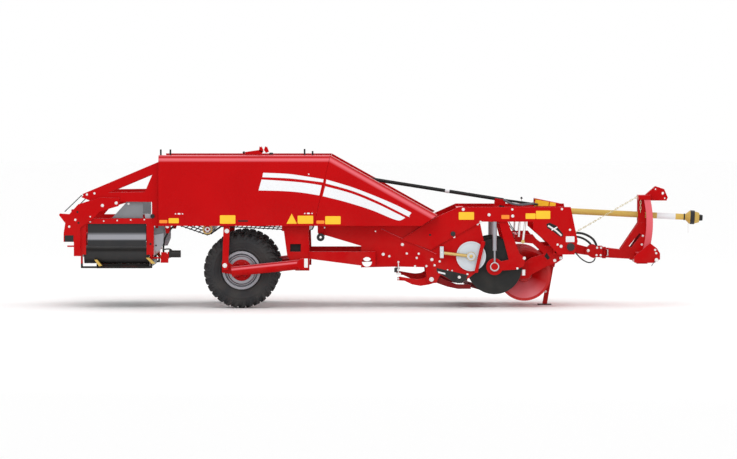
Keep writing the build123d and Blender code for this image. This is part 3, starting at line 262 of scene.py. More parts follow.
def make_finish(name, colour, rough, metal=0.0, shine=0.3, worn_to=None, edge_lightening=0.3, round_mm=4.0,
                dust=0.06, swing=0.12, grain_scale=260.0, lower=None, painted_highlight=None):
    """One material: mottled colour, edges with wear and painted highlight, dust, grain bump, rounded edges.

    lower gives an axis, a limit on it and the colour below that limit. The last argument
    gives the strength and the colour of a highlight that is painted on faces that look up.
    """
    made = bpy.data.materials.new(name)
    made.use_nodes = True
    tree = made.node_tree
    shader = tree.nodes["Principled BSDF"]
    shader.inputs["Metallic"].default_value = metal
    shader.inputs["Specular IOR Level"].default_value = shine
    edges = group_node(tree, soft_edges, Radius=round_mm / 1000, Wear=edge_lightening)
    fine = group_node(tree, grain, Scale=grain_scale)
    dusty = group_node(tree, field_dust, Amount=dust)
    dark = tuple(c * (1 - swing) for c in colour) + (1,)
    light = tuple(min(1.0, c * (1 + swing)) for c in colour) + (1,)
    shown = mixed(tree, fine.outputs["Mottle"], dark, light)
    if lower:
        axis, limit, second = lower
        beyond = spread(tree, axes_of(tree, own_place(tree))[axis], limit - LINE_SOFT, limit + LINE_SOFT)
        shown = mixed(tree, beyond, second + (1,), shown)
    # Painted highlight: a pale colour mixed into faces that look up, in two bands of tilt
    if painted_highlight:
        strength, pale = painted_highlight
        tilt = axes_of(tree, edges.outputs["Normal"])["Z"]
        band = maths(tree, "MULTIPLY", spread(tree, tilt, *HIGHLIGHT_COMES), spread(tree, tilt, *HIGHLIGHT_GOES))
        highlight_bands = maths(tree, "MAXIMUM", band, spread(tree, tilt, *HIGHLIGHT_BACK))
        shown = mixed(tree, maths(tree, "MULTIPLY", highlight_bands, strength), shown, pale + (1,))
    # Lighter edge colour: a given worn_to colour is wear; the paler tint used otherwise is a painted edge
    # highlight
    bare = worn_to or tuple(min(1, 1.6 * c + 0.03) for c in colour)
    shown = mixed(tree, edges.outputs["Edge"], shown, bare + (1,))
    shown = mixed(tree, dusty.outputs["Mask"], shown, DUST)
    tree.links.new(shown, shader.inputs["Base Color"])
    gloss = maths(tree, "MULTIPLY", fine.outputs["Mottle"], MOTTLE_ROUGH)
    gloss = maths(tree, "ADD", gloss, maths(tree, "MULTIPLY", dusty.outputs["Mask"], DUST_ROUGH))
    tree.links.new(maths(tree, "ADD", gloss, rough), shader.inputs["Roughness"])
    bump = tree.nodes.new("ShaderNodeBump")
    bump.inputs["Distance"].default_value = GRAIN_DEPTH
    tree.links.new(fine.outputs["Height"], bump.inputs["Height"])
    tree.links.new(edges.outputs["Normal"], bump.inputs["Normal"])
    tree.links.new(bump.outputs["Normal"], shader.inputs["Normal"])
    return made


STEEL, BLACK = (0.66, 0.67, 0.68), (0.012, 0.013, 0.013)
# The two pinks are painted highlight colours for faces that look up, not paint colours
RED, HIGHLIGHT_PINK, ROLLER_HIGHLIGHT_PINK = (0.46, 0.0018, 0.003), (0.98, 0.26, 0.31), (0.98, 0.30, 0.36)
# The share's dark red is its own dark paint, darkened further as painted shade; the lever, rearward of
# LEVER_END, stays red
SHARE_RED_WITH_SHADE, LEVER_END = (0.17, 0.002, 0.005), 0.585
# The red enamel gets a painted pink highlight on faces that look up
FINISHES = {
    "red_paint": make_finish("red_enamel", RED, 0.24, shine=0.06, swing=0.05, painted_highlight=(0.5, HIGHLIGHT_PINK)),
    "dark_red_paint": make_finish("share_enamel", SHARE_RED_WITH_SHADE, 0.34, shine=0.08, worn_to=STEEL, edge_lightening=0.4,
                                  lower=("X", LEVER_END, RED)),
    "black_steel": make_finish("black_enamel", BLACK, 0.42, shine=0.25),
    "web": make_finish("web_rods", (0.016, 0.016, 0.017), 0.48, worn_to=(0.2, 0.2, 0.2), round_mm=1.0),
    "rubber": make_finish("moulded_rubber", (0.014, 0.015, 0.016), 0.5, round_mm=3.0),
    "grey_rubber": make_finish("grey_apron_rubber", (0.20, 0.21, 0.225), 0.55, round_mm=2.0),
    "tyre": make_finish("tyre_rubber", (0.022, 0.022, 0.024), 0.62, dust=0.10, round_mm=5.0,
                        grain_scale=420.0),
    "silver_paint": make_finish("rim_silver", (0.35, 0.35, 0.38), 0.3, metal=0.8),
    "bare_steel": make_finish("zinc_steel", STEEL, 0.34, metal=0.85, round_mm=1.5),
    "yellow_plastic": make_finish("guard_plastic", (0.60, 0.40, 0.09), 0.42, round_mm=2.0),
    "grey_paint": make_finish("pale_grey_enamel", (0.58, 0.63, 0.67), 0.34),
}
print("finishes:", len(FINISHES))

# %% [markdown]
# ## Finishes of the CAD nodes
# The record gives each node a material slot, and the table has the finish for it. Four
# nodes have a finish of their own. The tray is black below its edge, the stand has a
# dark foot, and the two row rollers shine more and carry their own painted highlight on
# faces that look up.

# %% Give each CAD node its finish
TRAY_TOP, FOOT_TOP, FOOT_STEEL = 0.500, 0.014, (0.06, 0.055, 0.055)


def two_colours(name, limit, below):
    """Red paint above a height and another colour below it."""
    return make_finish(name, RED, 0.28, shine=0.08, swing=0.05, lower=("Z", limit, below))


# The row rollers get their own painted highlight in a paler pink
roller_enamel = make_finish("roller_enamel", RED, 0.2, swing=0.05, painted_highlight=(0.34, ROLLER_HIGHLIGHT_PINK))
SPECIAL = {
    "cross_frame": two_colours("red_over_black", TRAY_TOP, BLACK),
    "stand_leg": two_colours("stand_enamel", FOOT_TOP, FOOT_STEEL),
    "row_roller_right": roller_enamel,
    "row_roller_left": roller_enamel,
}
for entry in frame["record"]["subparts"]:
    name = entry["node"]
    nodes[name].data.materials.clear()
    nodes[name].data.materials.append(SPECIAL.get(name) or FINISHES[entry["material_slot"]])

# %% [markdown]
# ## Hand tools
# The new pieces are shaped as one would by hand in edit mode. A turned piece starts as
# a disc and is extruded ring by ring. A plate starts as one point that is extruded
# along its outline. A swept piece starts as one section that is extruded and fitted to
# the next. Each finished piece keeps its place in its mesh and rides on one body, except
# the few that lie across two bodies and ride on none.

# %% Hand tools
MERGE_WITHIN = 0.00002


def only(*objects):
    """Selects just these objects; the last one is active."""
    if bpy.context.object and bpy.context.object.mode == "EDIT":
        bpy.ops.object.mode_set(mode="OBJECT")
    bpy.ops.object.select_all(action="DESELECT")
    for obj in objects:
        obj.select_set(True)
    bpy.context.view_layer.objects.active = objects[-1]


def close_mesh(obj):
    """Merges doubles, turns the faces outwards and leaves edit mode."""
    bpy.ops.mesh.select_all(action="SELECT")
    bpy.ops.mesh.remove_doubles(threshold=MERGE_WITHIN)
    bpy.ops.mesh.normals_make_consistent(inside=False)
    bpy.ops.object.mode_set(mode="OBJECT")
    return obj


def turned(profile, sides=32, ring=False):
    """A form turned about +Z from (height, radius) pairs; a ring's profile closes on itself."""
    bpy.ops.object.select_all(action="DESELECT")
    height, radius = profile[0]
    fill = "NOTHING" if ring else "NGON"
    bpy.ops.mesh.primitive_circle_add(vertices=sides, radius=radius, fill_type=fill, location=(0, 0, 0))
    obj = bpy.context.object
    bpy.ops.object.mode_set(mode="EDIT")
    bpy.ops.transform.translate(value=(0, 0, height))
    for next_height, next_radius in profile[1:] + (profile[:1] if ring else []):
        rise = (0, 0, next_height - height)
        bpy.ops.mesh.extrude_region_move(TRANSFORM_OT_translate={"value": rise})
        grow = next_radius / radius
        bpy.ops.transform.resize(value=(grow, grow, 1), center_override=(0, 0, next_height))
        height, radius = next_height, next_radius
    return close_mesh(obj)


def cut_plate(outline, near, far):
    """A plate cut to an outline of (x, z) points, from y = near to y = far."""
    bpy.ops.object.select_all(action="DESELECT")
    bpy.ops.mesh.primitive_plane_add(size=0.01, location=(0, 0, 0))
    obj = bpy.context.object
    bpy.ops.object.mode_set(mode="EDIT")
    bpy.ops.mesh.merge(type="CENTER")
    bpy.ops.transform.translate(value=(outline[0][0], near, outline[0][1]))
    for (x, z), (next_x, next_z) in zip(outline, outline[1:]):
        step = (next_x - x, 0, next_z - z)
        bpy.ops.mesh.extrude_vertices_move(TRANSFORM_OT_translate={"value": step})
    bpy.ops.mesh.select_all(action="SELECT")
    bpy.ops.mesh.edge_face_add()
    bpy.ops.mesh.extrude_region_move(TRANSFORM_OT_translate={"value": (0, far - near, 0)})
    return close_mesh(obj)


def swept(sections, closed=False):
    """A form drawn through sections, each a list of as many points in the same order."""
    bpy.ops.object.select_all(action="DESELECT")
    count, fill = len(sections[0]), "NOTHING" if closed else "NGON"
    bpy.ops.mesh.primitive_circle_add(vertices=count, radius=0.01, fill_type=fill, location=(0, 0, 0))
    obj = bpy.context.object
    for vertex, point in zip(obj.data.vertices, sections[0]):
        vertex.co = point
    bpy.ops.object.mode_set(mode="EDIT")
    for section in sections[1:] + (sections[:1] if closed else []):
        bpy.ops.mesh.extrude_region_move(TRANSFORM_OT_translate={"value": (0, 0, 0)})
        bpy.ops.object.mode_set(mode="OBJECT")
        for vertex, point in zip(obj.data.vertices[-count:], section):
            vertex.co = point
        bpy.ops.object.mode_set(mode="EDIT")
    return close_mesh(obj)


def along(point, direction):
    """The place of a piece made along +Z: its foot at point, its +Z in direction."""
    turn = Vector(direction).to_track_quat("Z", "Y").to_matrix().to_4x4()
    return Matrix.Translation(Vector(point)) @ turn


def placed(obj, point, direction):
    """Puts a piece made along +Z at a point and turns it to a direction."""
    obj.matrix_world = along(point, direction)
    return obj


def copy_at(obj, place):
    """A copy with its own mesh, put at place."""
    twin = obj.copy()
    twin.data = obj.data.copy()
    bpy.context.collection.objects.link(twin)
    twin.matrix_world = place
    return twin


def joined(parts):
    """One object from several, with their places in its mesh."""
    for part in parts:
        only(part)
        bpy.ops.object.transform_apply(location=True, rotation=True, scale=True)
    only(*parts)
    if len(parts) > 1:
        bpy.ops.object.join()
    return bpy.context.object


def mirrored(obj):
    """A copy on the other side of the centre plane, with its faces outwards again."""
    twin = copy_at(obj, obj.matrix_world)
    only(twin)
    twin.scale.y = -1
    bpy.ops.object.transform_apply(location=True, rotation=True, scale=True)
    bpy.ops.object.mode_set(mode="EDIT")
    bpy.ops.mesh.select_all(action="SELECT")
    bpy.ops.mesh.normals_make_consistent(inside=False)
    bpy.ops.object.mode_set(mode="OBJECT")
    return twin


def settle(obj, name, finish, body, smooth=40):
    """Names a finished piece, gives it its finish and lets it ride on a body."""
    only(obj)
    bpy.ops.object.transform_apply(location=True, rotation=True, scale=True)
    obj.name = obj.data.name = name
    obj.data.materials.clear()
    obj.data.materials.append(FINISHES.get(finish) or FILMS[finish])
    bpy.ops.object.shade_smooth_by_angle(angle=math.radians(smooth))
    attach(obj, body)
    return obj


def on_both_sides(obj, name, finish, body, smooth=40, both=True):
    """Settles a piece on the right side and, if wanted, its mirror image on the left."""
    joined([obj])
    if both:
        settle(mirrored(obj), f"{name}_left", finish, body, smooth)
    return settle(obj, f"{name}_right", finish, body, smooth)


def bends_between(obj, name, finish, body):
    """Settles a piece that spans from one body to another, then frees it from its body and bakes its place
    into its mesh.
    """
    settle(obj, name, finish, body, smooth=60)
    place = obj.matrix_world.copy()
    obj.parent = None
    obj.matrix_world = place
    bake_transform(obj)
    return obj


def smooth_edge(points, cuts=6):
    """More points along an edge, on the curve through the given ones."""
    ends = [points[0], *points, points[-1]]
    line = []
    for a, b, c, d in zip(ends, ends[1:], ends[2:], ends[3:]):
        for step in range(cuts):
            t = step / cuts
            line.append(tuple(
                0.5 * (2 * q + (r - p) * t + (2 * p - 5 * q + 4 * r - s) * t * t
                       + (3 * q - p - 3 * r + s) * t ** 3)
                for p, q, r, s in zip(a, b, c, d)
            ))
    return line + [points[-1]]


def bar(start, end, radius, sides=14):
    """A round bar between two points, with eased ends."""
    run, ease = Vector(end) - Vector(start), min(0.002, radius * 0.3)
    long = run.length
    profile = [(0, radius - ease), (ease, radius), (long - ease, radius), (long, radius - ease)]
    return placed(turned(profile, sides), start, run)


def bent(points, radius, sides=12, cuts=6):
    """A hose or bent rod through the given points, on a smooth curve."""
    line = [Vector(spot) for spot in smooth_edge(points, cuts)]
    around = [2 * math.pi * k / sides for k in range(sides)]
    side, sections = None, []
    for before, spot, after in zip(line[:1] + line, line, line[1:] + line[-1:]):
        run = (after - before).normalized()
        side = run.orthogonal() if side is None else side - run * side.dot(run)
        side.normalize()
        up = run.cross(side)
        sections.append([spot + (side * math.cos(a) + up * math.sin(a)) * radius for a in around])
    return swept(sections)


# %% [markdown]
# ## Places read from the photograph
# Bolts and labels are placed where the photograph shows them. A ray from the camera
# through that pixel meets the surface that carries the piece, so the piece lies on it
# from every side and rides on the right body.

# %% Rays through the photograph
PHOTO_WIDTH, PHOTO_HEIGHT, SENSOR_MM = 737, 459, 36.0
bpy.context.view_layer.update()
view_turn = camera.matrix_world.to_3x3()
bodies = frame["record"]["behaviour"]["bodies"]
node_body = {name: body for body, names in bodies.items() for name in names}


def ray_through(px, py):
    """The direction from the camera through a pixel of the photograph."""
    step = SENSOR_MM / PHOTO_WIDTH
    local = Vector(((px - PHOTO_WIDTH / 2) * step, (PHOTO_HEIGHT / 2 - py) * step, -LENS_MM))
    return (view_turn @ local).normalized()


def on_plane(px, py, y):
    """Where the ray through a pixel meets the upright plane at this y."""
    ray = ray_through(px, py)
    return CAMERA_FROM + ray * ((y - CAMERA_FROM.y) / ray.y)


def under_pixel(px, py):
    """The surface point that shows at a pixel, its normal and the name of what carries it."""
    shown = bpy.context.evaluated_depsgraph_get()
    hit, point, normal, _, obj, _ = bpy.context.scene.ray_cast(shown, CAMERA_FROM, ray_through(px, py))
    return (point, normal, obj.name) if hit else (None, None, None)


def middle_of(outline):
    """The mean of an outline's points."""
    return [sum(axis) / len(outline) for axis in zip(*outline)]


def pixel_plate(outline, near, far, plane=None):
    """A plate cut to an outline in pixels, which lies in the plane y = near or another."""
    spots = [on_plane(px, py, near if plane is None else plane) for px, py in outline]
    return cut_plate([(spot.x, spot.z) for spot in spots], near, far)


print("pixel under the hub:", under_pixel(240, 270))

# %% [markdown]
# ## Films
# Stripes and signs on the hood are printed film: a flat colour with a very fine
# orange-peel from the paint below. Films are blank here, because the part carries no
# names or words.

# %% Film finishes
FILMS = {
    "white_film": make_finish("white_film", (0.78, 0.80, 0.82), 0.36, swing=0.02, round_mm=0.5),
    "yellow_film": make_finish("yellow_film", (0.92, 0.52, 0.02), 0.38, swing=0.04, round_mm=0.5),
    "orange_film": make_finish("orange_film", (0.88, 0.25, 0.02), 0.38, swing=0.04, round_mm=0.5),
    # Painted shade: near-black film laid where an opening or recess lies in shade
    "dark_gap": make_finish("dark_gap", (0.012, 0.010, 0.010), 0.7, dust=0.0, round_mm=0.5),
    "gold_zinc": make_finish("gold_zinc", (0.62, 0.44, 0.16), 0.36, metal=0.7, round_mm=1.0),
    "bright_zinc": make_finish("bright_zinc", (0.82, 0.82, 0.81), 0.3, metal=0.6, swing=0.04, round_mm=1.0),
    # The apron rubber has a pale painted highlight on faces that look up
    "apron_rubber": make_finish("apron_rubber", (0.014, 0.015, 0.017), 0.42, round_mm=1.0,
                                painted_highlight=(0.5, (0.55, 0.56, 0.62))),
    "black_plastic": make_finish("black_plastic", (0.02, 0.02, 0.021), 0.45, round_mm=2.0),
    "chain_zinc": make_finish("chain_zinc", (0.74, 0.68, 0.44), 0.36, metal=0.5, round_mm=1.0),
    "grey_hose": make_finish("grey_hose", (0.13, 0.135, 0.15), 0.42, round_mm=1.0),
}
print("films:", len(FILMS))

# %% [markdown]
# ## Tyres
# Each tyre is a wide implement tyre with strong shoulder lugs. The casing is one ring
# turned from a profile with two raised sidewall ribs. One lug is swept from the middle
# of the tread over the shoulder and down the sidewall, then copied round both sides,
# half a step apart.

# %% Tyres
WHEEL_X, WHEEL_Y, WHEEL_Z = -1.590, 0.785, 0.422
# The middle of each wheel, with +Z outward
WHEELS = {
    side: along((WHEEL_X, where * WHEEL_Y, WHEEL_Z), (0, where, 0))
    for side, where in (("right", -1), ("left", 1))
}
LUGS, LUG_TAPER, LUG_INSET, SHOULDER = 30, 0.8, 0.014, 0.12
# Half of the casing, outward from the middle of the tread: height along the axle, radius
CASING = [
    (0.0, 0.405), (0.055, 0.404), (0.098, 0.398), (0.122, 0.382), (0.135, 0.356), (0.1405, 0.330),
    (0.1415, 0.318), (0.1440, 0.314), (0.1440, 0.306), (0.1415, 0.302), (0.139, 0.284), (0.133, 0.262),
    (0.126, 0.246), (0.1275, 0.242), (0.1275, 0.234), (0.122, 0.230), (0.112, 0.216), (0.096, 0.204),
    (0.090, 0.1965),
]
# Lug sections: place along the axle, inner and outer radius, sweep, half width
LUG_SECTIONS = [
    (0.008, 0.392, 0.4195, 0.000, 0.016), (0.050, 0.392, 0.4205, 0.012, 0.018),
    (0.096, 0.384, 0.4165, 0.034, 0.019), (0.128, 0.362, 0.402, 0.046, 0.019),
    (0.1435, 0.336, 0.372, 0.052, 0.018), (0.1440, 0.318, 0.338, 0.054, 0.013),
]


def lug():
    """One lug, swept from the middle of the tread over the shoulder."""
    sections = []
    for height, inner, outer, sweep, half in LUG_SECTIONS:
        foot, top = height - (LUG_INSET if height > SHOULDER else 0.0), half * LUG_TAPER
        sections.append([
            (inner, sweep - half, foot), (outer, sweep - top, height),
            (outer, sweep + top, height), (inner, sweep + half, foot),
        ])
    return swept(sections)


one_lug = lug()
casing_profile = [(-height, radius) for height, radius in CASING[:0:-1]] + CASING
tyre_shape = turned(casing_profile, sides=90, ring=True)
lugs = []
for step in range(LUGS):
    for side in (1, -1):
        turn = Matrix.Rotation(2 * math.pi * (step + 0.25 * side) / LUGS, 4, "Z")
        flip = Matrix.Rotation(math.pi, 4, "X") if side < 0 else Matrix.Identity(4)
        lugs.append(copy_at(one_lug, turn @ flip))
bpy.data.objects.remove(one_lug)
tyre_shape = joined([*lugs, tyre_shape])
for side, place in WHEELS.items():
    tyre = settle(copy_at(tyre_shape, place), f"tread_{side}", "tyre", f"wheel_{side}", smooth=32)
    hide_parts(f"tyre_{side}")
bpy.data.objects.remove(tyre_shape)
print("tyre faces:", len(tyre.data.polygons))

# %% [markdown]
# ## Stripes on the hood
# Two white stripes run along the hood and bend down with its slope, one thin and one
# thick. Each is cut at the seam between the two hood panels. Their edges were read
# from the photograph as a few points, and the plate tool cuts them from film.

# %% Stripes
HOOD_SIDE = 1.050
FILM_THICK, FILM_SINK = 0.0012, 0.0004
# Upper and lower edge of each stretch, as (x, z) in metres
STRIPES = [
    ([(-1.345, 1.509), (-1.068, 1.496), (-0.856, 1.466), (-0.675, 1.436)],
     [(-0.682, 1.403), (-0.856, 1.425), (-1.068, 1.447), (-1.354, 1.460)]),
    ([(-0.644, 1.434), (-0.361, 1.349), (-0.077, 1.240), (0.135, 1.148), (0.298, 1.066)],
     [(0.270, 1.028), (0.249, 1.030), (-0.077, 1.193), (-0.361, 1.309), (-0.652, 1.391)]),
    ([(-1.363, 1.434), (-1.068, 1.415), (-0.856, 1.394), (-0.696, 1.369)],
     [(-0.722, 1.258), (-0.927, 1.290), (-1.139, 1.307), (-1.396, 1.313)]),
    ([(-0.657, 1.359), (-0.361, 1.278), (-0.077, 1.162), (0.120, 1.066), (0.228, 1.012)],
     [(0.205, 0.995), (0.157, 0.980), (0.064, 1.009), (-0.148, 1.097), (-0.431, 1.186), (-0.686, 1.250)]),
]
for number, (upper, lower) in enumerate(STRIPES):
    outline = smooth_edge(upper) + smooth_edge(lower)
    stripe = cut_plate(outline, -HOOD_SIDE + FILM_SINK, -HOOD_SIDE - FILM_THICK)
    on_both_sides(stripe, f"stripe_{number}", "white_film", "frame")
print("stripes:", 2 * len(STRIPES))

# %% [markdown]
# ## Signs
# Small film signs sit on the hood and on the front frame. They stay blank. Each is a
# plate with cut corners, or a triangle, on the surface that its pixel shows, and it has
# a twin on the left side.

# %% Signs
# Pixel box in the photograph: left, top, right, bottom, film
SIGNS = [
    (219.9, 215.3, 235.4, 223.7, "yellow_film"), (297.6, 215.7, 313.2, 223.7, "yellow_film"),
    (325.2, 216.2, 340.6, 224.2, "yellow_film"), (316.4, 220.5, 324.4, 223.7, "orange_film"),
    (159.3, 220.0, 167.3, 223.2, "orange_film"), (168.6, 218.2, 178.8, 223.2, "yellow_film"),
    (458.7, 212.1, 474.0, 219.7, "yellow_film"), (501.4, 215.0, 509.4, 218.9, "orange_film"),
    (525.6, 213.4, 535.6, 218.9, "yellow_film"), (536.0, 210.8, 550.3, 218.9, "yellow_film"),
    (565.8, 236.3, 574.5, 242.1, "white_film"),
]
WARNING = [(291.7, 213.6), (296.9, 223.7), (286.5, 223.7)]


def corner_cut(left, top, right, bottom, cut=0.5):
    """Eight pixel points of a box with its corners cut off."""
    return [
        (left + cut, top), (right - cut, top), (right, top + cut), (right, bottom - cut),
        (right - cut, bottom), (left + cut, bottom), (left, bottom - cut), (left, top + cut),
    ]


def stick_sign(name, outline, film):
    """Puts a film on the surface that shows at its middle, and its twin on the left."""
    point, _, carrier = under_pixel(*middle_of(outline))
    sign = pixel_plate(outline, point.y + FILM_SINK, point.y - FILM_THICK, plane=point.y)
    on_both_sides(sign, name, film, node_body[carrier])
    print(name, "lies on", carrier)


outlines = [(corner_cut(*row[:4]), row[4]) for row in SIGNS] + [(WARNING, "yellow_film")]
for number, (outline, film) in enumerate(outlines):
    stick_sign(f"sign_{number}", outline, film)

# %% [markdown]
# ## Webs
# Both webs are endless: three belts on a closed loop, with a round steel rod across
# them every 50 mm. The loop is drawn as straight runs with rounded corners, then
# walked in even steps. The belts are swept along it, and one rod is copied round it.
# The lower run of the rear web dips round a roller behind the wheels.

# %% Web loops
WEB_BEND, WEB_REACH, CORNER_STEPS = 0.067, 0.068, 8
ROD_STEP, BELT_CUTS = 0.050, 3
BELT_MIDDLES, BELT_HALF, BELT_THICK = (-0.820, 0.0, 0.820), 0.030, 0.010
ROD_RADIUS, ROD_HALF = 0.006, 0.850
# Roller middles at the front and rear end, and the points of the dip, as (x, z)
WEBS = {
    "web_digging": ((0.833, 0.344), (-0.640, 1.075), []),
    "web_separating": (
        (-0.850, 0.925), (-2.420, 1.000), [(-2.311, 0.926), (-1.957, 0.804), (-1.815, 0.905)]
    ),
}


def upright(x, z):
    """A point in the centre plane."""
    return Vector((x, 0, z))


def web_corners(front, rear, dip):
    """The corners of a loop that wraps two rollers, with the dip in its lower run."""
    front, rear, low = upright(*front), upright(*rear), [upright(*spot) for spot in dip]
    run = (rear - front).normalized() * WEB_REACH
    up = Vector((-run.z, 0, run.x))
    up = up if up.z > 0 else -up
    return [front + up - run, rear + up + run, rear + run - up, *low, front - up - run]


def rounded_loop(corners, bend):
    """Points along a closed loop whose corners are rounded."""
    line = []
    for before, corner, after in zip(corners[-1:] + corners[:-1], corners, corners[1:] + corners[:1]):
        back, on = (before - corner).normalized(), (after - corner).normalized()
        half = back.angle(on) / 2
        middle = corner + (back + on).normalized() * (bend / math.sin(half))
        first, last = corner + back * (bend / math.tan(half)), corner + on * (bend / math.tan(half))
        for step in range(CORNER_STEPS + 1):
            spoke = (first - middle).lerp(last - middle, step / CORNER_STEPS)
            line.append(middle + spoke.normalized() * bend)
    return line


def even_steps(line, pitch):
    """Points at even steps round a closed line, each with its direction."""
    runs = list(zip(line, line[1:] + line[:1]))
    total = sum((b - a).length for a, b in runs)
    count = BELT_CUTS * round(total / pitch / BELT_CUTS)
    steps, done = [], 0.0
    for a, b in runs:
        length = (b - a).length
        while len(steps) < count and len(steps) * total / count <= done + length:
            t = (len(steps) * total / count - done) / length
            steps.append((a.lerp(b, t), (b - a).normalized()))
        done += length
    return steps


for name, (front, rear, dip) in WEBS.items():
    corners = web_corners(front, rear, dip)
    steps = even_steps(rounded_loop(corners, WEB_BEND), ROD_STEP / BELT_CUTS)
    pieces = []
    for middle in BELT_MIDDLES:
        sections = []
        for spot, run in steps:
            inward = run.cross(Vector((0, 1, 0))) * BELT_THICK
            near, far = Vector((0, middle - BELT_HALF, 0)), Vector((0, middle + BELT_HALF, 0))
            sections.append([spot + near, spot + far, spot + far + inward, spot + near + inward])
        pieces.append(swept(sections, closed=True))
    rod = turned([(0, ROD_RADIUS), (2 * ROD_HALF, ROD_RADIUS)], sides=8)
    for spot, _ in steps[::BELT_CUTS]:
        pieces.append(copy_at(rod, along(spot - Vector((0, ROD_HALF, 0)), (0, 1, 0))))
    bpy.data.objects.remove(rod)
    belt = settle(joined(pieces), f"{name}_links", "web", "frame", smooth=50)
    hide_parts(name)
    print(name, "rods:", len(steps) // BELT_CUTS, "faces:", len(belt.data.polygons))

# %% [markdown]
# ## Rims
# The silver rim shows two bright rings with a sloping wall between them. One closed
# profile is turned for both. A red plate with six nuts closes the middle, half hidden
# behind the arm.

# %% Rims
# Height outward from the middle of the wheel, radius
RIM_DISH = [
    (0.050, 0.188), (0.1215, 0.213), (0.1245, 0.210), (0.1245, 0.203), (0.118, 0.200), (0.070, 0.190),
    (0.066, 0.178), (0.094, 0.171), (0.096, 0.169), (0.096, 0.161), (0.092, 0.159), (0.058, 0.152),
    (0.056, 0.110), (0.050, 0.110),
]
HUB_PLATE = [(0.052, 0.119), (0.070, 0.119), (0.074, 0.115), (0.074, 0.104)]
HUB_NUT = [(0, 0.014), (0.011, 0.014), (0.014, 0.011), (0.020, 0.008), (0.021, 0.006)]
HUB_FACE, HUB_NUTS, NUT_CIRCLE = 0.086, 6, 0.084
for side, place in WHEELS.items():
    dish, plate, nuts = turned(RIM_DISH, sides=72, ring=True), turned(HUB_PLATE, sides=48), []
    dish.matrix_world = plate.matrix_world = place
    settle(dish, f"rim_dish_{side}", "silver_paint", f"wheel_{side}")
    settle(plate, f"hub_plate_{side}", "red_paint", f"wheel_{side}")
    for step in range(HUB_NUTS):
        turn = Matrix.Rotation(2 * math.pi * step / HUB_NUTS, 4, "Z")
        nut = turned(HUB_NUT, sides=6)
        nut.matrix_world = place @ turn @ Matrix.Translation((NUT_CIRCLE, 0, HUB_FACE))
        nuts.append(nut)
    settle(joined(nuts), f"hub_nuts_{side}", "red_paint", f"wheel_{side}")
print("rim faces:", len(dish.data.polygons))

# %% [markdown]
# ## Bolts
# Most plates are bolted, and the bolt heads are the bright dots in the photograph. One
# bolt is a washer, a six-sided head and the rounded top of the head. It is copied to
# each place, turned to the surface there, and mirrored to the left side.

# %% Bolts
TINY, SMALL, LARGE, PIN = 0.0055, 0.0085, 0.0115, 0.017
# Pixels of bolt heads in the photograph, with the size of the head
BOLT_PIXELS = {
    LARGE: [
        (463.3, 209.4), (489.1, 214.8), (512.7, 216.0), (561.1, 246.3), (554.7, 260.4), (560.8, 257.9),
        (524.3, 258.2), (402.4, 244.5), (383.2, 254.3), (431.9, 259.6), (102.4, 205.5), (116.2, 203.0),
        (459.3, 277.2),
    ],
    PIN: [(226.8, 231.0), (224.8, 265.5), (431.5, 279.4)],
    SMALL: [
        (545.6, 291.6), (512.3, 209.4), (562.0, 209.1), (570.0, 229.8), (557.6, 244.6), (517.4, 268.4),
        (480.7, 221.9), (477.7, 224.2), (454.2, 236.9), (439.7, 261.4), (389.3, 256.2), (406.8, 253.5),
        (418.7, 253.7), (416.7, 257.9), (398.4, 262.1), (415.0, 266.3), (426.4, 266.1), (434.6, 265.3),
        (642.8, 235.8), (641.8, 244.6), (655.2, 249.9), (656.2, 253.2), (86.9, 194.5), (94.4, 193.4),
        (62.6, 213.6), (75.3, 219.8), (69.2, 226.6), (467.4, 274.4), (398.1, 278.6), (128.5, 203.7),
        (82.0, 195.3),
    ],
    TINY: [
        (90.2, 216.7), (90.2, 221.8), (103.7, 221.1), (117.2, 220.5), (130.7, 220.0), (144.3, 219.6),
        (308.8, 174.2), (441.7, 248.8), (441.7, 252.6), (441.7, 256.4), (447.6, 269.9), (452.1, 270.6),
        (375.4, 231.3), (324.4, 227.6),
    ],
}
ONE_SIDED = {"drive_disc", "hose_tube", "cross_motor", "hood_lever", "chain"}
TO_LEFT = Vector((1, -1, 1))


def hex_bolt(size):
    """A washer and a six-sided head, foot at z = 0."""
    wide, thick = size * 1.5, size * 0.22
    washer = turned([(-0.002, wide), (thick, wide), (size * 0.28, size * 1.42)], sides=20)
    head = [(0, size), (size * 0.85, size), (size * 1.0, size * 0.84), (size * 1.04, size * 0.5)]
    return joined([washer, turned(head, sides=6)])


bolts = {}
for size, pixels in BOLT_PIXELS.items():
    pattern = hex_bolt(size)
    for px, py in pixels:
        point, normal, carrier = under_pixel(px, py)
        if carrier not in node_body:
            print("no plate under bolt", px, py, carrier)
            continue
        places = [(point, normal)]
        if carrier not in ONE_SIDED:
            places.append((point * TO_LEFT, normal * TO_LEFT))
        copies = [copy_at(pattern, along(*place)) for place in places]
        bolts.setdefault(node_body[carrier], []).extend(copies)
    bpy.data.objects.remove(pattern)
for body, copies in bolts.items():
    print("bolts on", body, len(copies))
    settle(joined(copies), f"bolts_{body}", "bright_zinc", body, smooth=30)
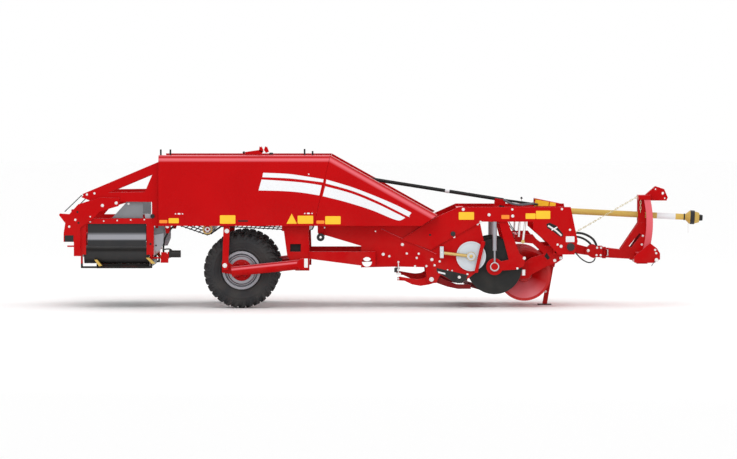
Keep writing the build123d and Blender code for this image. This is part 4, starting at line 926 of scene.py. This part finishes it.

# %% [markdown]
# ## Small plates
# Brackets, guides and skins are thin plates. The dark openings are thin plates too, of
# painted shade: near-black film where a pocket, grip or slot lies in shade. Their
# outlines were read from the photograph in pixels, and the ray through each pixel is
# stopped at the depth where the plate lies. Most exist on both sides of the machine.

# %% Small plates
# Name, finish, depth of the outer face (or the pixel whose surface it lies on, or None
# for its own middle), thickness, both sides, outline in pixels
FRAME_PIXEL = (570, 225)
# The near-black rows (pocket, grip, slots) are painted shade
PLATES = [
    ("nose_skin", "black_steel", -0.8925, 0.003, True,
     [(437, 272), (436.5, 268), (468, 275), (466, 280.3), (459, 283), (452, 281.2)]),
    ("stand_pocket", "dark_gap", -0.897, 0.0015, True,
     [(290.1, 244.1), (300.7, 244.1), (300.7, 251.6), (290.1, 251.6)]),
    ("hood_grip", "dark_gap", -1.0512, 0.0012, True,
     [(238, 220.3), (248, 220.3), (248, 221.7), (238, 221.7)]),
    ("bearing_plate", "silver_paint", -0.957, 0.010, True,
     [(144.8, 214.3), (156, 214.3), (156, 226), (145.6, 226)]),
    ("hanger_ear", "red_paint", -0.935, 0.012, True,
     [(164.3, 224.0), (171.2, 224.0), (168.9, 233.2), (165.9, 233.2)]),
    ("tube_clamp", "red_paint", -0.336, 0.072, False,
     [(495, 198.2), (506, 199.8), (505, 205.8), (494, 204.6)]),
    ("guide_rear", "yellow_plastic", -0.985, 0.030, True,
     [(94.3, 259.8), (97, 259.6), (102, 265.6), (99, 266.4)]),
    ("guide_front", "yellow_plastic", -0.985, 0.030, True,
     [(145.8, 257.8), (149, 257.6), (155.6, 263.4), (152, 264)]),
    ("rod_wing", "bright_zinc", -0.938, 0.006, True,
     [(396.4, 272.8), (400.5, 272.8), (401.4, 275.3), (395.6, 275.3)]),
    ("rod_stop", "black_plastic", -0.950, 0.030, True,
     [(394.2, 268), (397.3, 268), (397.3, 272.3), (394.2, 272.3)]),
    ("side_flap", "grey_rubber", -0.935, 0.006, True,
     [(150.5, 226.5), (163.2, 229.6), (163.8, 232.4), (158.0, 235.0), (150.5, 236.0)]),
    ("roller_plate", "silver_paint", -0.948, 0.006, True,
     [(147.2, 239.0), (152.0, 235.4), (163.6, 233.2), (163.4, 243.0), (160.2, 250.8), (149.4, 251.4),
      (147.0, 246.0)]),
    ("motor_plate", "red_paint", -0.945, 0.008, False,
     [(161.2, 252.2), (166.4, 252.2), (168.4, 256.0), (168.4, 262.8), (160.6, 262.8)]),
    ("carrier_slot", "dark_gap", None, 0.0015, True,
     [(544.2, 256.2), (546.8, 252.6), (550.0, 258.0), (547.6, 259.9)]),
    ("slot_shade", "dark_gap", FRAME_PIXEL, 0.0015, True,
     [(546.3, 224.2), (549.6, 222.6), (556.2, 225.6), (563.2, 234.2), (562.4, 237.0), (559.4, 236.2),
      (553.0, 231.4), (547.4, 228.0)]),
    ("guide_bracket", "red_paint", -0.905, 0.012, True,
     [(317.5, 226), (324, 226), (322.4, 239), (318.6, 239)]),
    ("nose_label", "white_film", -0.8938, 0.0016, True,
     [(437.8, 271.2), (445.4, 273.0), (445.2, 274.6), (438.4, 273.0)]),
    ("tray_label", "white_film", (108, 263.5), 0.0016, True,
     [(104.6, 262.9), (111.4, 262.9), (111.4, 264.2), (104.6, 264.2)]),
    ("tube_end", "black_steel", (69, 238.5), 0.008, True,
     [(64.6, 235.4), (73.4, 235.4), (73.4, 241.8), (64.6, 241.8)]),
    ("arm_tag", "bright_zinc", (306, 263), 0.004, True,
     [(304.2, 258.6), (307.8, 258.6), (307.8, 267.6), (304.2, 267.6)]),
]
# Small white marks on the hood: left, top, right, bottom
MARKS = [
    (174.9, 213.3, 176.1, 214.4), (177.7, 213.1, 180.4, 214.5), (181.9, 213.3, 183.1, 214.4),
    (304.2, 212.9, 305.4, 214.0), (307.0, 212.7, 309.8, 214.1), (311.5, 212.9, 312.7, 214.0),
]
MARK_THICK = 0.0016
rows = PLATES + [
    (f"hood_mark_{k}", "white_film", -HOOD_SIDE - FILM_THICK, MARK_THICK, True, corner_cut(*box, cut=0.2))
    for k, box in enumerate(MARKS)
]
for name, finish, depth, thick, both, outline in rows:
    if not isinstance(depth, float):
        point, _, carrier = under_pixel(*(depth or middle_of(outline)))
        print(name, "lies on", carrier)
        if carrier is None:
            continue
        depth = point.y - thick / 2
    on_both_sides(pixel_plate(outline, depth, depth + thick), name, finish, "frame", both=both)
print("small plates:", len(rows))

# %% [markdown]
# ## Signs on the gear guard
# The guard over the gearbox carries two blank signs that follow its sloping top.

# %% Guard signs
GUARD_SIGNS = [
    [(535.4, 199.4), (548.9, 201.7), (548.5, 206.0), (534.5, 206.0)],
    [(549.9, 201.9), (555.9, 202.9), (555.4, 206.0), (549.5, 206.0)],
]
for number, outline in enumerate(GUARD_SIGNS):
    stick_sign(f"guard_sign_{number}", outline, "yellow_film")

# %% [markdown]
# ## Rods, pins and small hoses
# Thin rods and hoses run between the bigger parts. A straight one is a turned bar with
# eased ends. A bent one is a round section swept along a smooth curve.

# %% Rods and small hoses
THICK_ROD, SLOT_GAP = 0.02, 0.004
SIDE_FACE = under_pixel(*FRAME_PIXEL)[0].y - SLOT_GAP
# Name, finish, radius, both sides, points as pixel x, pixel y and depth
RODS = [
    ("share_rod", "bright_zinc", 0.006, True, [(398.4, 261.9, -0.936), (398.4, 274.5, -0.936)]),
    ("rear_rod", "black_steel", 0.005, True, [(81.7, 195.2, -1.012), (64.7, 211.7, -1.012)]),
    ("tail_pin", "red_paint", 0.009, True, [(67.3, 246.2, -1.010), (75.0, 246.2, -1.010)]),
    ("lift_rod", "bright_zinc", 0.010, True, [(519.9, 221.0, -0.850), (518.8, 237.0, -0.850)]),
    ("lift_screw", "bright_zinc", 0.013, True, [(525.4, 221.0, -0.862), (522.9, 241.6, -0.862)]),
    ("lift_pin", "gold_zinc", 0.021, True, [(522.9, 241.6, -0.885), (522.9, 241.6, -0.780)]),
    ("lift_cable", "black_plastic", 0.005, True,
     [(508.8, 221.5, -0.84), (511.6, 226.5, -0.84), (515.8, 231.8, -0.84), (519.2, 236.5, -0.84)]),
    ("slot_link", "bright_zinc", 0.011, True,
     [(548.0, 225.6, SIDE_FACE), (556.0, 230.6, SIDE_FACE), (561.6, 235.6, SIDE_FACE)]),
    ("slot_arm", "bright_zinc", 0.008, True, [(551.4, 230.2, SIDE_FACE), (557.4, 227.2, SIDE_FACE)]),
    ("fold_edge", "red_paint", 0.008, True, [(381.0, 229.2, -0.891), (436.4, 254.4, -0.891)]),
    ("cone_nut", "bright_zinc", 0.020, True, [(523.6, 269.6, -0.862), (523.6, 275.4, -0.862)]),
    ("knob_stem", "bright_zinc", 0.005, False, [(521.5, 198.6, -0.300), (522.3, 206.0, -0.300)]),
    ("motor_hose", "rubber", 0.011, False,
     [(175.6, 224.5, -0.86), (169.0, 231.0, -0.87), (164.8, 239.0, -0.88), (163.4, 247.5, -0.89),
      (163.8, 254.0, -0.89)]),
    ("motor_pipe", "rubber", 0.008, False,
     [(163.0, 249.6, -0.90), (168.5, 249.0, -0.90), (171.6, 250.3, -0.90), (171.8, 254.6, -0.90)]),
    ("roller_guide", "rubber", 0.044, True, [(320.6, 237.3, -0.960), (320.6, 237.3, -0.893)]),
    ("guard_hose", "grey_hose", 0.013, False,
     [(503.6, 199.6, -0.33), (509.0, 202.6, -0.34), (517.0, 204.6, -0.34), (526.0, 204.4, -0.33),
      (534.0, 203.2, -0.30)]),
]
for name, finish, radius, both, marks in RODS:
    spots = [on_plane(*mark) for mark in marks]
    sides = 24 if radius > THICK_ROD else 14
    piece = bar(*spots, radius, sides) if len(spots) == 2 else bent(spots, radius)
    on_both_sides(piece, name, finish, "frame", both=both)
print("rods:", len(RODS))

# %% [markdown]
# ## Turned details
# Caps, rings, nuts and bosses are round, so they are turned. Those on a shaft use its
# line; the others stand on the surface that their pixel shows. Open holes in the plates
# are thin discs of painted shade.

# %% Turned details
# Name, finish, pixel, ring, profile of (height, radius)
TURNED = [
    ("bearing_cap", "black_plastic", (570.7, 247.0), False,
     [(-0.004, 0.044), (0.016, 0.044), (0.022, 0.038), (0.024, 0.016)]),
    ("disc_ring", "bright_zinc", (494.6, 266.5), True,
     [(-0.002, 0.047), (0.006, 0.046), (0.006, 0.041), (-0.002, 0.040)]),
    ("guide_nut", "bright_zinc", (320.6, 237.3), False, [(-0.002, 0.014), (0.008, 0.014), (0.010, 0.011)]),
    ("ear_nut", "bright_zinc", (167.3, 226.5), False,
     [(-0.002, 0.020), (0.005, 0.020), (0.006, 0.012), (0.016, 0.011)]),
    ("plate_bearing", "black_steel", (152.6, 216.2), False,
     [(-0.002, 0.024), (0.010, 0.024), (0.014, 0.018)]),
    ("side_boss", "black_plastic", (453.0, 233.8), False,
     [(-0.002, 0.027), (0.012, 0.027), (0.016, 0.021)]),
]
for name, finish, pixel, ring, profile in TURNED:
    point, normal, carrier = under_pixel(*pixel)
    on_both_sides(placed(turned(profile, 32, ring), point, normal), name, finish, "frame")
    print(name, "sits on", carrier)

# Holes, each a thin disc of painted shade: pixel x, pixel y, radius
HOLES = [
    (77.4, 212.0, 0.011), (78.5, 222.9, 0.011), (430.1, 234.9, 0.012), (150.5, 244.0, 0.012),
    (156.0, 245.5, 0.010),
]
holes = []
for px, py, radius in HOLES:
    point, normal, carrier = under_pixel(px, py)
    if carrier is None:
        continue
    hole = turned([(-0.001, radius), (0.0008, radius), (0.001, radius * 0.96)], 20)
    holes.append(placed(hole, point, normal))
print("holes:", len(holes))
on_both_sides(joined(holes), "plate_holes", "dark_gap", "frame")

# Gold sleeve and hub on the drive disc, gold caps and bright washers on the dip roller
NEAR = (0, -1, 0)
DRIVE, ROLLER_END = (0.962, -0.950, 0.579), (-1.968, -0.890, 0.878)
SLEEVE, SLEEVE_RADIUS = [(0.662, -0.932, 0.6158), (0.938, -0.932, 0.5819)], 0.0178
DRIVE_RING = [(-0.006, 0.0505), (0.003, 0.0505), (0.004, 0.047), (0.000, 0.045), (-0.006, 0.045)]
DRIVE_NUT = [(-0.002, 0.020), (0.012, 0.020), (0.014, 0.016), (0.018, 0.010)]
CAP = [(-0.004, 0.056), (0.006, 0.056), (0.009, 0.053), (0.009, 0.044), (0.006, 0.041), (-0.004, 0.041)]
WASHER = [(-0.004, 0.029), (0.006, 0.029), (0.008, 0.027), (0.008, 0.015), (0.004, 0.013), (-0.004, 0.013)]
settle(bar(*SLEEVE, SLEEVE_RADIUS), "drive_sleeve", "gold_zinc", "frame")
hub, nut = turned(DRIVE_RING, 40, True), turned(DRIVE_NUT, 6)
settle(joined([placed(hub, DRIVE, NEAR), placed(nut, DRIVE, NEAR)]), "drive_hub", "gold_zinc", "frame")
cap, washer = turned(CAP, 40, True), turned(WASHER, 36, True)
on_both_sides(placed(cap, ROLLER_END, NEAR), "roller_cap", "gold_zinc", "frame")
on_both_sides(placed(washer, ROLLER_END, NEAR), "roller_washer", "bright_zinc", "frame")

# A black ball on the knob stem, and a white band on the hose tube
TUBE_Y = -0.300
TUBE_FROM, TUBE_TO = Vector((-0.266, TUBE_Y, 1.446)), Vector((1.340, TUBE_Y, 1.193))
BALL = [(-0.013, 0.004), (-0.009, 0.010), (0.0, 0.0135), (0.009, 0.010), (0.013, 0.004)]
BAND = [(-0.025, 0.0198), (-0.025, 0.0218), (0.025, 0.0218), (0.025, 0.0198)]
ball = placed(turned(BALL, 20), on_plane(521.5, 198.0, TUBE_Y), (0, 0, 1))
settle(ball, "lever_ball", "black_plastic", "frame", smooth=80)
part_way = (on_plane(447.2, 190.0, TUBE_Y).x - TUBE_FROM.x) / (TUBE_TO.x - TUBE_FROM.x)
band = placed(turned(BAND, 28, True), TUBE_FROM.lerp(TUBE_TO, part_way), TUBE_TO - TUBE_FROM)
settle(band, "tube_band", "white_film", "frame")

# %% [markdown]
# ## Rubber aprons
# A rubber apron hangs at each end of the cross conveyor. It comes down flat from its
# rail, swings out over the end roller and drops again, so its lower part catches a broad
# band of light. Its rubber also has a pale painted highlight on faces that look up. It
# is one thin sheet swept along that line.

# %% Aprons
APRON_BACK, APRON_FRONT, APRON_THICK, INNER_LOWER = -3.292, -2.646, 0.003, 0.0005
# Line of the sheet from its rail down, as (y, z)
APRON_LINE = [
    (-0.979, 0.956), (-0.979, 0.900), (-0.982, 0.850), (-0.991, 0.815), (-1.006, 0.790), (-1.018, 0.762),
    (-1.020, 0.725), (-1.017, 0.690),
]
apron_line = smooth_edge(APRON_LINE, 4)
sections = []
for y, z in apron_line:
    inner_y, inner_z = y + APRON_THICK, z - INNER_LOWER
    sections.append([
        (APRON_BACK, y, z), (APRON_FRONT, y, z),
        (APRON_FRONT, inner_y, inner_z), (APRON_BACK, inner_y, inner_z),
    ])
apron = swept(sections)
near_apron = on_both_sides(apron, "apron_sheet", "apron_rubber", "frame", smooth=60)
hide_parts("cross_aprons")

# %% [markdown]
# ## Drive shaft end
# The shaft guard ends in a black collar and a short bell, with the dark fork of the
# joint in front of it. A blank white band sits on the guard tube. They are all turned
# about the line of the shaft and ride on the guard or on the shaft.

# %% Drive shaft end
SHAFT_FOOT, SHAFT_TILT = Vector((1.985, 0.0, 1.066)), math.radians(2.9)
SHAFT_RUN = Vector((math.cos(SHAFT_TILT), 0, -math.sin(SHAFT_TILT)))
# Name, finish, body, profile of (distance along the shaft, radius)
SHAFT_PIECES = [
    ("guard_band", "white_film", "pto_guard",
     [(1.100, 0.0338), (1.100, 0.0350), (1.310, 0.0350), (1.310, 0.0338)]),
    ("guard_collar", "black_plastic", "pto_guard",
     [(1.474, 0.070), (1.476, 0.0775), (1.482, 0.0790), (1.518, 0.0790), (1.524, 0.0775), (1.526, 0.066)]),
    ("guard_bell", "yellow_plastic", "pto_guard",
     [(1.522, 0.068), (1.545, 0.065), (1.575, 0.056), (1.578, 0.050), (1.560, 0.046), (1.522, 0.046)]),
    ("guard_ring", "black_plastic", "pto_guard",
     [(1.402, 0.0338), (1.404, 0.0385), (1.416, 0.0385), (1.418, 0.0338)]),
    ("fork_sleeve", "black_steel", "pto_shaft",
     [(1.530, 0.0302), (1.532, 0.0360), (1.596, 0.0360), (1.602, 0.0330), (1.616, 0.0330), (1.6165, 0.0302)]),
]
for name, finish, body, profile in SHAFT_PIECES:
    settle(placed(turned(profile, 40, True), SHAFT_FOOT, SHAFT_RUN), name, finish, body)
print("shaft pieces:", len(SHAFT_PIECES))

# %% [markdown]
# ## Chains
# A chain is one oval link, copied along a line and turned by a quarter each time. A
# short chain hangs from the shaft guard. The holding chain runs from the front box to
# the top of the mast, across both joints of the hitch. So it is two pieces that meet in
# the middle: one runs from the frame to the knuckle, the other on to the hitch, and
# neither rides on a body. A few spare links hang down beside the mast.

# %% Chains
LINK_STEPS, WIRE_SIDES, LINK_WIDE = 16, 6, 2.3


def chain_run(start, end, count, wire):
    """Oval links of round wire from start to end, each one turned against the last."""
    start, run = Vector(start), Vector(end) - Vector(start)
    pitch, wide = run.length / count, LINK_WIDE * wire
    straight = pitch / 2 + wire - wide
    around = [2 * math.pi * k / WIRE_SIDES for k in range(WIRE_SIDES)]
    sections, links, side = [], [], Vector((0, wire, 0))
    for k in range(LINK_STEPS):
        angle = 2 * math.pi * (k + 0.5) / LINK_STEPS
        out = Vector((math.cos(angle), 0, math.sin(angle)))
        spot = out * wide + Vector((0, 0, math.copysign(straight, out.z)))
        sections.append([spot + out * wire * math.cos(a) + side * math.sin(a) for a in around])
    link = swept(sections, closed=True)
    for step in range(count):
        quarter = Matrix.Rotation(math.pi / 2 * (step % 2), 4, "Z")
        links.append(copy_at(link, along(start + run * ((step + 0.5) / count), run) @ quarter))
    bpy.data.objects.remove(link)
    return joined(links)


GUARD_CHAIN, GUARD_LINKS, GUARD_WIRE = [(3.437, 0, 0.922), (3.437, 0, 0.818)], 9, 0.0013
guard_chain = chain_run(*GUARD_CHAIN, GUARD_LINKS, GUARD_WIRE)
settle(guard_chain, "guard_chain", "bright_zinc", "pto_guard", smooth=60)

CHAIN_LOW, CHAIN_HIGH = Vector((2.0524, -0.150, 0.765)), Vector((2.8576, -0.110, 1.226))
CHAIN_LINKS, BACK_LINKS, CHAIN_WIRE = 29, 15, 0.003
CHAIN_MIDDLE = CHAIN_LOW.lerp(CHAIN_HIGH, BACK_LINKS / CHAIN_LINKS)
STRETCHES = [
    ("chain_back", CHAIN_LOW, CHAIN_MIDDLE, BACK_LINKS, "frame", "knuckle"),
    ("chain_front", CHAIN_MIDDLE, CHAIN_HIGH, CHAIN_LINKS - BACK_LINKS, "knuckle", "hitch"),
]
for name, start, end, count, body, other in STRETCHES:
    stretch = chain_run(start, end, count, CHAIN_WIRE)
    bends_between(stretch, name, "chain_zinc", body)
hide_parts("chain")

SPARE_X, SPARE_TOP, SPARE_MIDDLE = 640.5, 195.5, 204
SPARE_OUT, SPARE_LONG, SPARE_LINKS = 0.011, 0.190, 6
point, _, carrier = under_pixel(SPARE_X, SPARE_MIDDLE)
print("spare links hang beside", carrier, "at y", round(point.y, 3))
spare_top = on_plane(SPARE_X, SPARE_TOP, point.y - SPARE_OUT)
spare = chain_run(spare_top, spare_top - Vector((0, 0, SPARE_LONG)), SPARE_LINKS, CHAIN_WIRE)
settle(spare, "chain_spare", "chain_zinc", "hitch", smooth=60)

# %% [markdown]
# ## Hoses to the hitch
# Three hydraulic hoses cross the pitch joint in front of the frame, so they lie between
# the two bodies and ride on neither. Each is one smooth tube through the points of its
# route. The crimped sleeves at its ends ride on the body that they are screwed into.

# %% Hitch hoses
# Radius, and the points of the route from the frame to the knuckle
HOSES = {
    "hose_upper": (0.013, [
        (1.930, -0.100, 0.700), (1.932, -0.100, 0.762), (1.985, -0.099, 0.802), (2.110, -0.092, 0.816),
        (2.240, -0.084, 0.808), (2.345, -0.062, 0.756), (2.394, -0.038, 0.684), (2.395, -0.030, 0.612),
    ]),
    "hose_lower": (0.007, [
        (2.040, -0.120, 0.650), (2.090, -0.120, 0.645), (2.150, -0.112, 0.600), (2.230, -0.092, 0.520),
        (2.310, -0.062, 0.480), (2.370, -0.038, 0.500), (2.395, -0.030, 0.566),
    ]),
    "hose_inner": (0.012, [
        (1.960, -0.060, 0.700), (1.962, -0.060, 0.742), (2.010, -0.060, 0.770), (2.110, -0.057, 0.777),
        (2.220, -0.052, 0.762), (2.305, -0.044, 0.715), (2.348, -0.034, 0.660), (2.352, -0.030, 0.612),
    ]),
}
CRIMP_SHARE, CRIMP_WIDE = 0.6, 1.35
for name, (radius, route) in HOSES.items():
    hose = bent(route, radius, sides=16, cuts=8)
    bends_between(hose, f"{name}_tube", "rubber", "frame")
    if name in nodes:
        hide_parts(name)
    for end, body, a, b in (("back", "frame", *route[:2]), ("front", "knuckle", *route[:-3:-1])):
        crimp = bar(a, Vector(a).lerp(Vector(b), CRIMP_SHARE), radius * CRIMP_WIDE, 12)
        settle(crimp, f"{name}_crimp_{end}", "bright_zinc", body)
print("hoses:", len(HOSES))

# %% [markdown]
# ## Hitch details
# A dark web plate stands between the two legs of the mast and closes their slots. Its
# dark red is the share's colour, which carries painted shade. The lower pin ends in a
# bright ball with a short black pull below it. The knuckle has bolted side plates.

# %% Hitch details
WEB_PLATE, WEB_HALF = [(629.0, 247.6), (639.4, 232.2), (641.6, 233.4), (631.6, 248.2)], 0.010
settle(pixel_plate(WEB_PLATE, -WEB_HALF, WEB_HALF), "mast_web", "dark_red_paint", "hitch")

PIN_PIXEL, PULL_OUT, PULL_RADIUS = (656.3, 259.9), 0.012, 0.0035
PIN_BALL = [(-0.004, 0.012), (0.004, 0.019), (0.014, 0.022), (0.024, 0.019), (0.032, 0.010)]
PULL = [(656.2, 260.4), (654.0, 262.4), (652.6, 264.2), (651.4, 266.0)]
point, _, carrier = under_pixel(*PIN_PIXEL)
print("lower pin sits on", carrier, "at y", round(point.y, 3))
pin = placed(turned(PIN_BALL, 24), on_plane(*PIN_PIXEL, point.y), NEAR)
on_both_sides(pin, "lower_pin", "bright_zinc", "hitch", smooth=80)
pull = bent([on_plane(px, py, point.y - PULL_OUT) for px, py in PULL], PULL_RADIUS, 10)
on_both_sides(pull, "pin_pull", "black_steel", "hitch")

KNUCKLE_THICK = 0.008
KNUCKLE_EDGE = [
    (585.4, 249.2), (590.4, 244.6), (594.0, 244.4), (596.0, 246.0), (602.6, 246.0), (602.6, 257.2),
    (596.4, 257.2), (593.4, 258.2), (590.4, 257.0), (585.4, 253.4),
]
KNUCKLE_BOLTS = [
    (588.2, 250.6, LARGE), (597.1, 247.7, SMALL), (601.0, 247.7, SMALL), (596.5, 255.2, SMALL),
    (600.6, 255.3, SMALL),
]
point, _, carrier = under_pixel(*KNUCKLE_BOLTS[0][:2])
print("knuckle plate lies on", carrier, "at y", round(point.y, 3))
face = point.y - KNUCKLE_THICK
side_plate = pixel_plate(KNUCKLE_EDGE, face, point.y)
heads = [placed(hex_bolt(size), on_plane(px, py, face), NEAR) for px, py, size in KNUCKLE_BOLTS]
heads = joined(heads)
on_both_sides(side_plate, "knuckle_plate", "red_paint", "knuckle")
on_both_sides(heads, "knuckle_bolts", "bright_zinc", "knuckle")

# %% [markdown]
# ## Lever on the hood
# The short lever has a black grip at each end and two pointed prongs in its middle. Four
# small pins stand on the hood, two behind the lever and two in front of it.

# %% Hood lever
LEVER_Y, LEVER_HALF = -0.930, 0.020
LEVER_NEAR, LEVER_FAR = LEVER_Y - LEVER_HALF, LEVER_Y + LEVER_HALF
# Grips: pixel x, pixel y, radius
GRIPS = [(243.8, 152.5, 0.014), (270.4, 153.6, 0.012), (272.0, 153.6, 0.012)]
# Outlines of the two prongs and of the lever itself
PRONGS = [
    [(258.9, 151.0), (259.6, 146.2), (260.9, 147.2), (261.6, 146.3), (263.4, 150.0), (262.6, 152.4)],
    [(263.8, 150.0), (265.2, 146.2), (266.4, 147.2), (267.0, 146.4), (269.0, 151.8), (266.0, 153.0)],
    [(245.0, 152.0), (258.8, 150.0), (263.6, 151.4), (261.0, 154.4), (250.0, 154.6), (245.0, 153.4)],
]
# Tops of the pins, and the pixel row, depth and radius that they share
PINS = [(160.8, 149.4), (170.4, 149.4), (304.6, 148.9), (312.6, 151.0)]
PIN_FOOT, PIN_Y, PIN_RADIUS = 156.6, -0.94, 0.010
grips = []
for px, py, radius in GRIPS:
    grip = turned([(-0.013, 0.005), (-0.010, 0.011), (0.0, radius), (0.010, 0.011), (0.013, 0.005)], 20)
    grips.append(placed(grip, on_plane(px, py, LEVER_NEAR), (1, 0, 0)))
settle(joined(grips), "lever_grips", "black_plastic", "frame", smooth=80)
for number, outline in enumerate(PRONGS):
    prong = pixel_plate(outline, LEVER_NEAR, LEVER_FAR)
    settle(prong, f"lever_prong_{number}", "red_paint", "frame")
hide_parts("hood_lever")
pins = [bar(on_plane(px, top, PIN_Y), on_plane(px, PIN_FOOT, PIN_Y), PIN_RADIUS, 10) for px, top in PINS]
settle(joined(pins), "hood_pins", "black_steel", "frame")
print("lever pieces:", len(PRONGS) + 2)
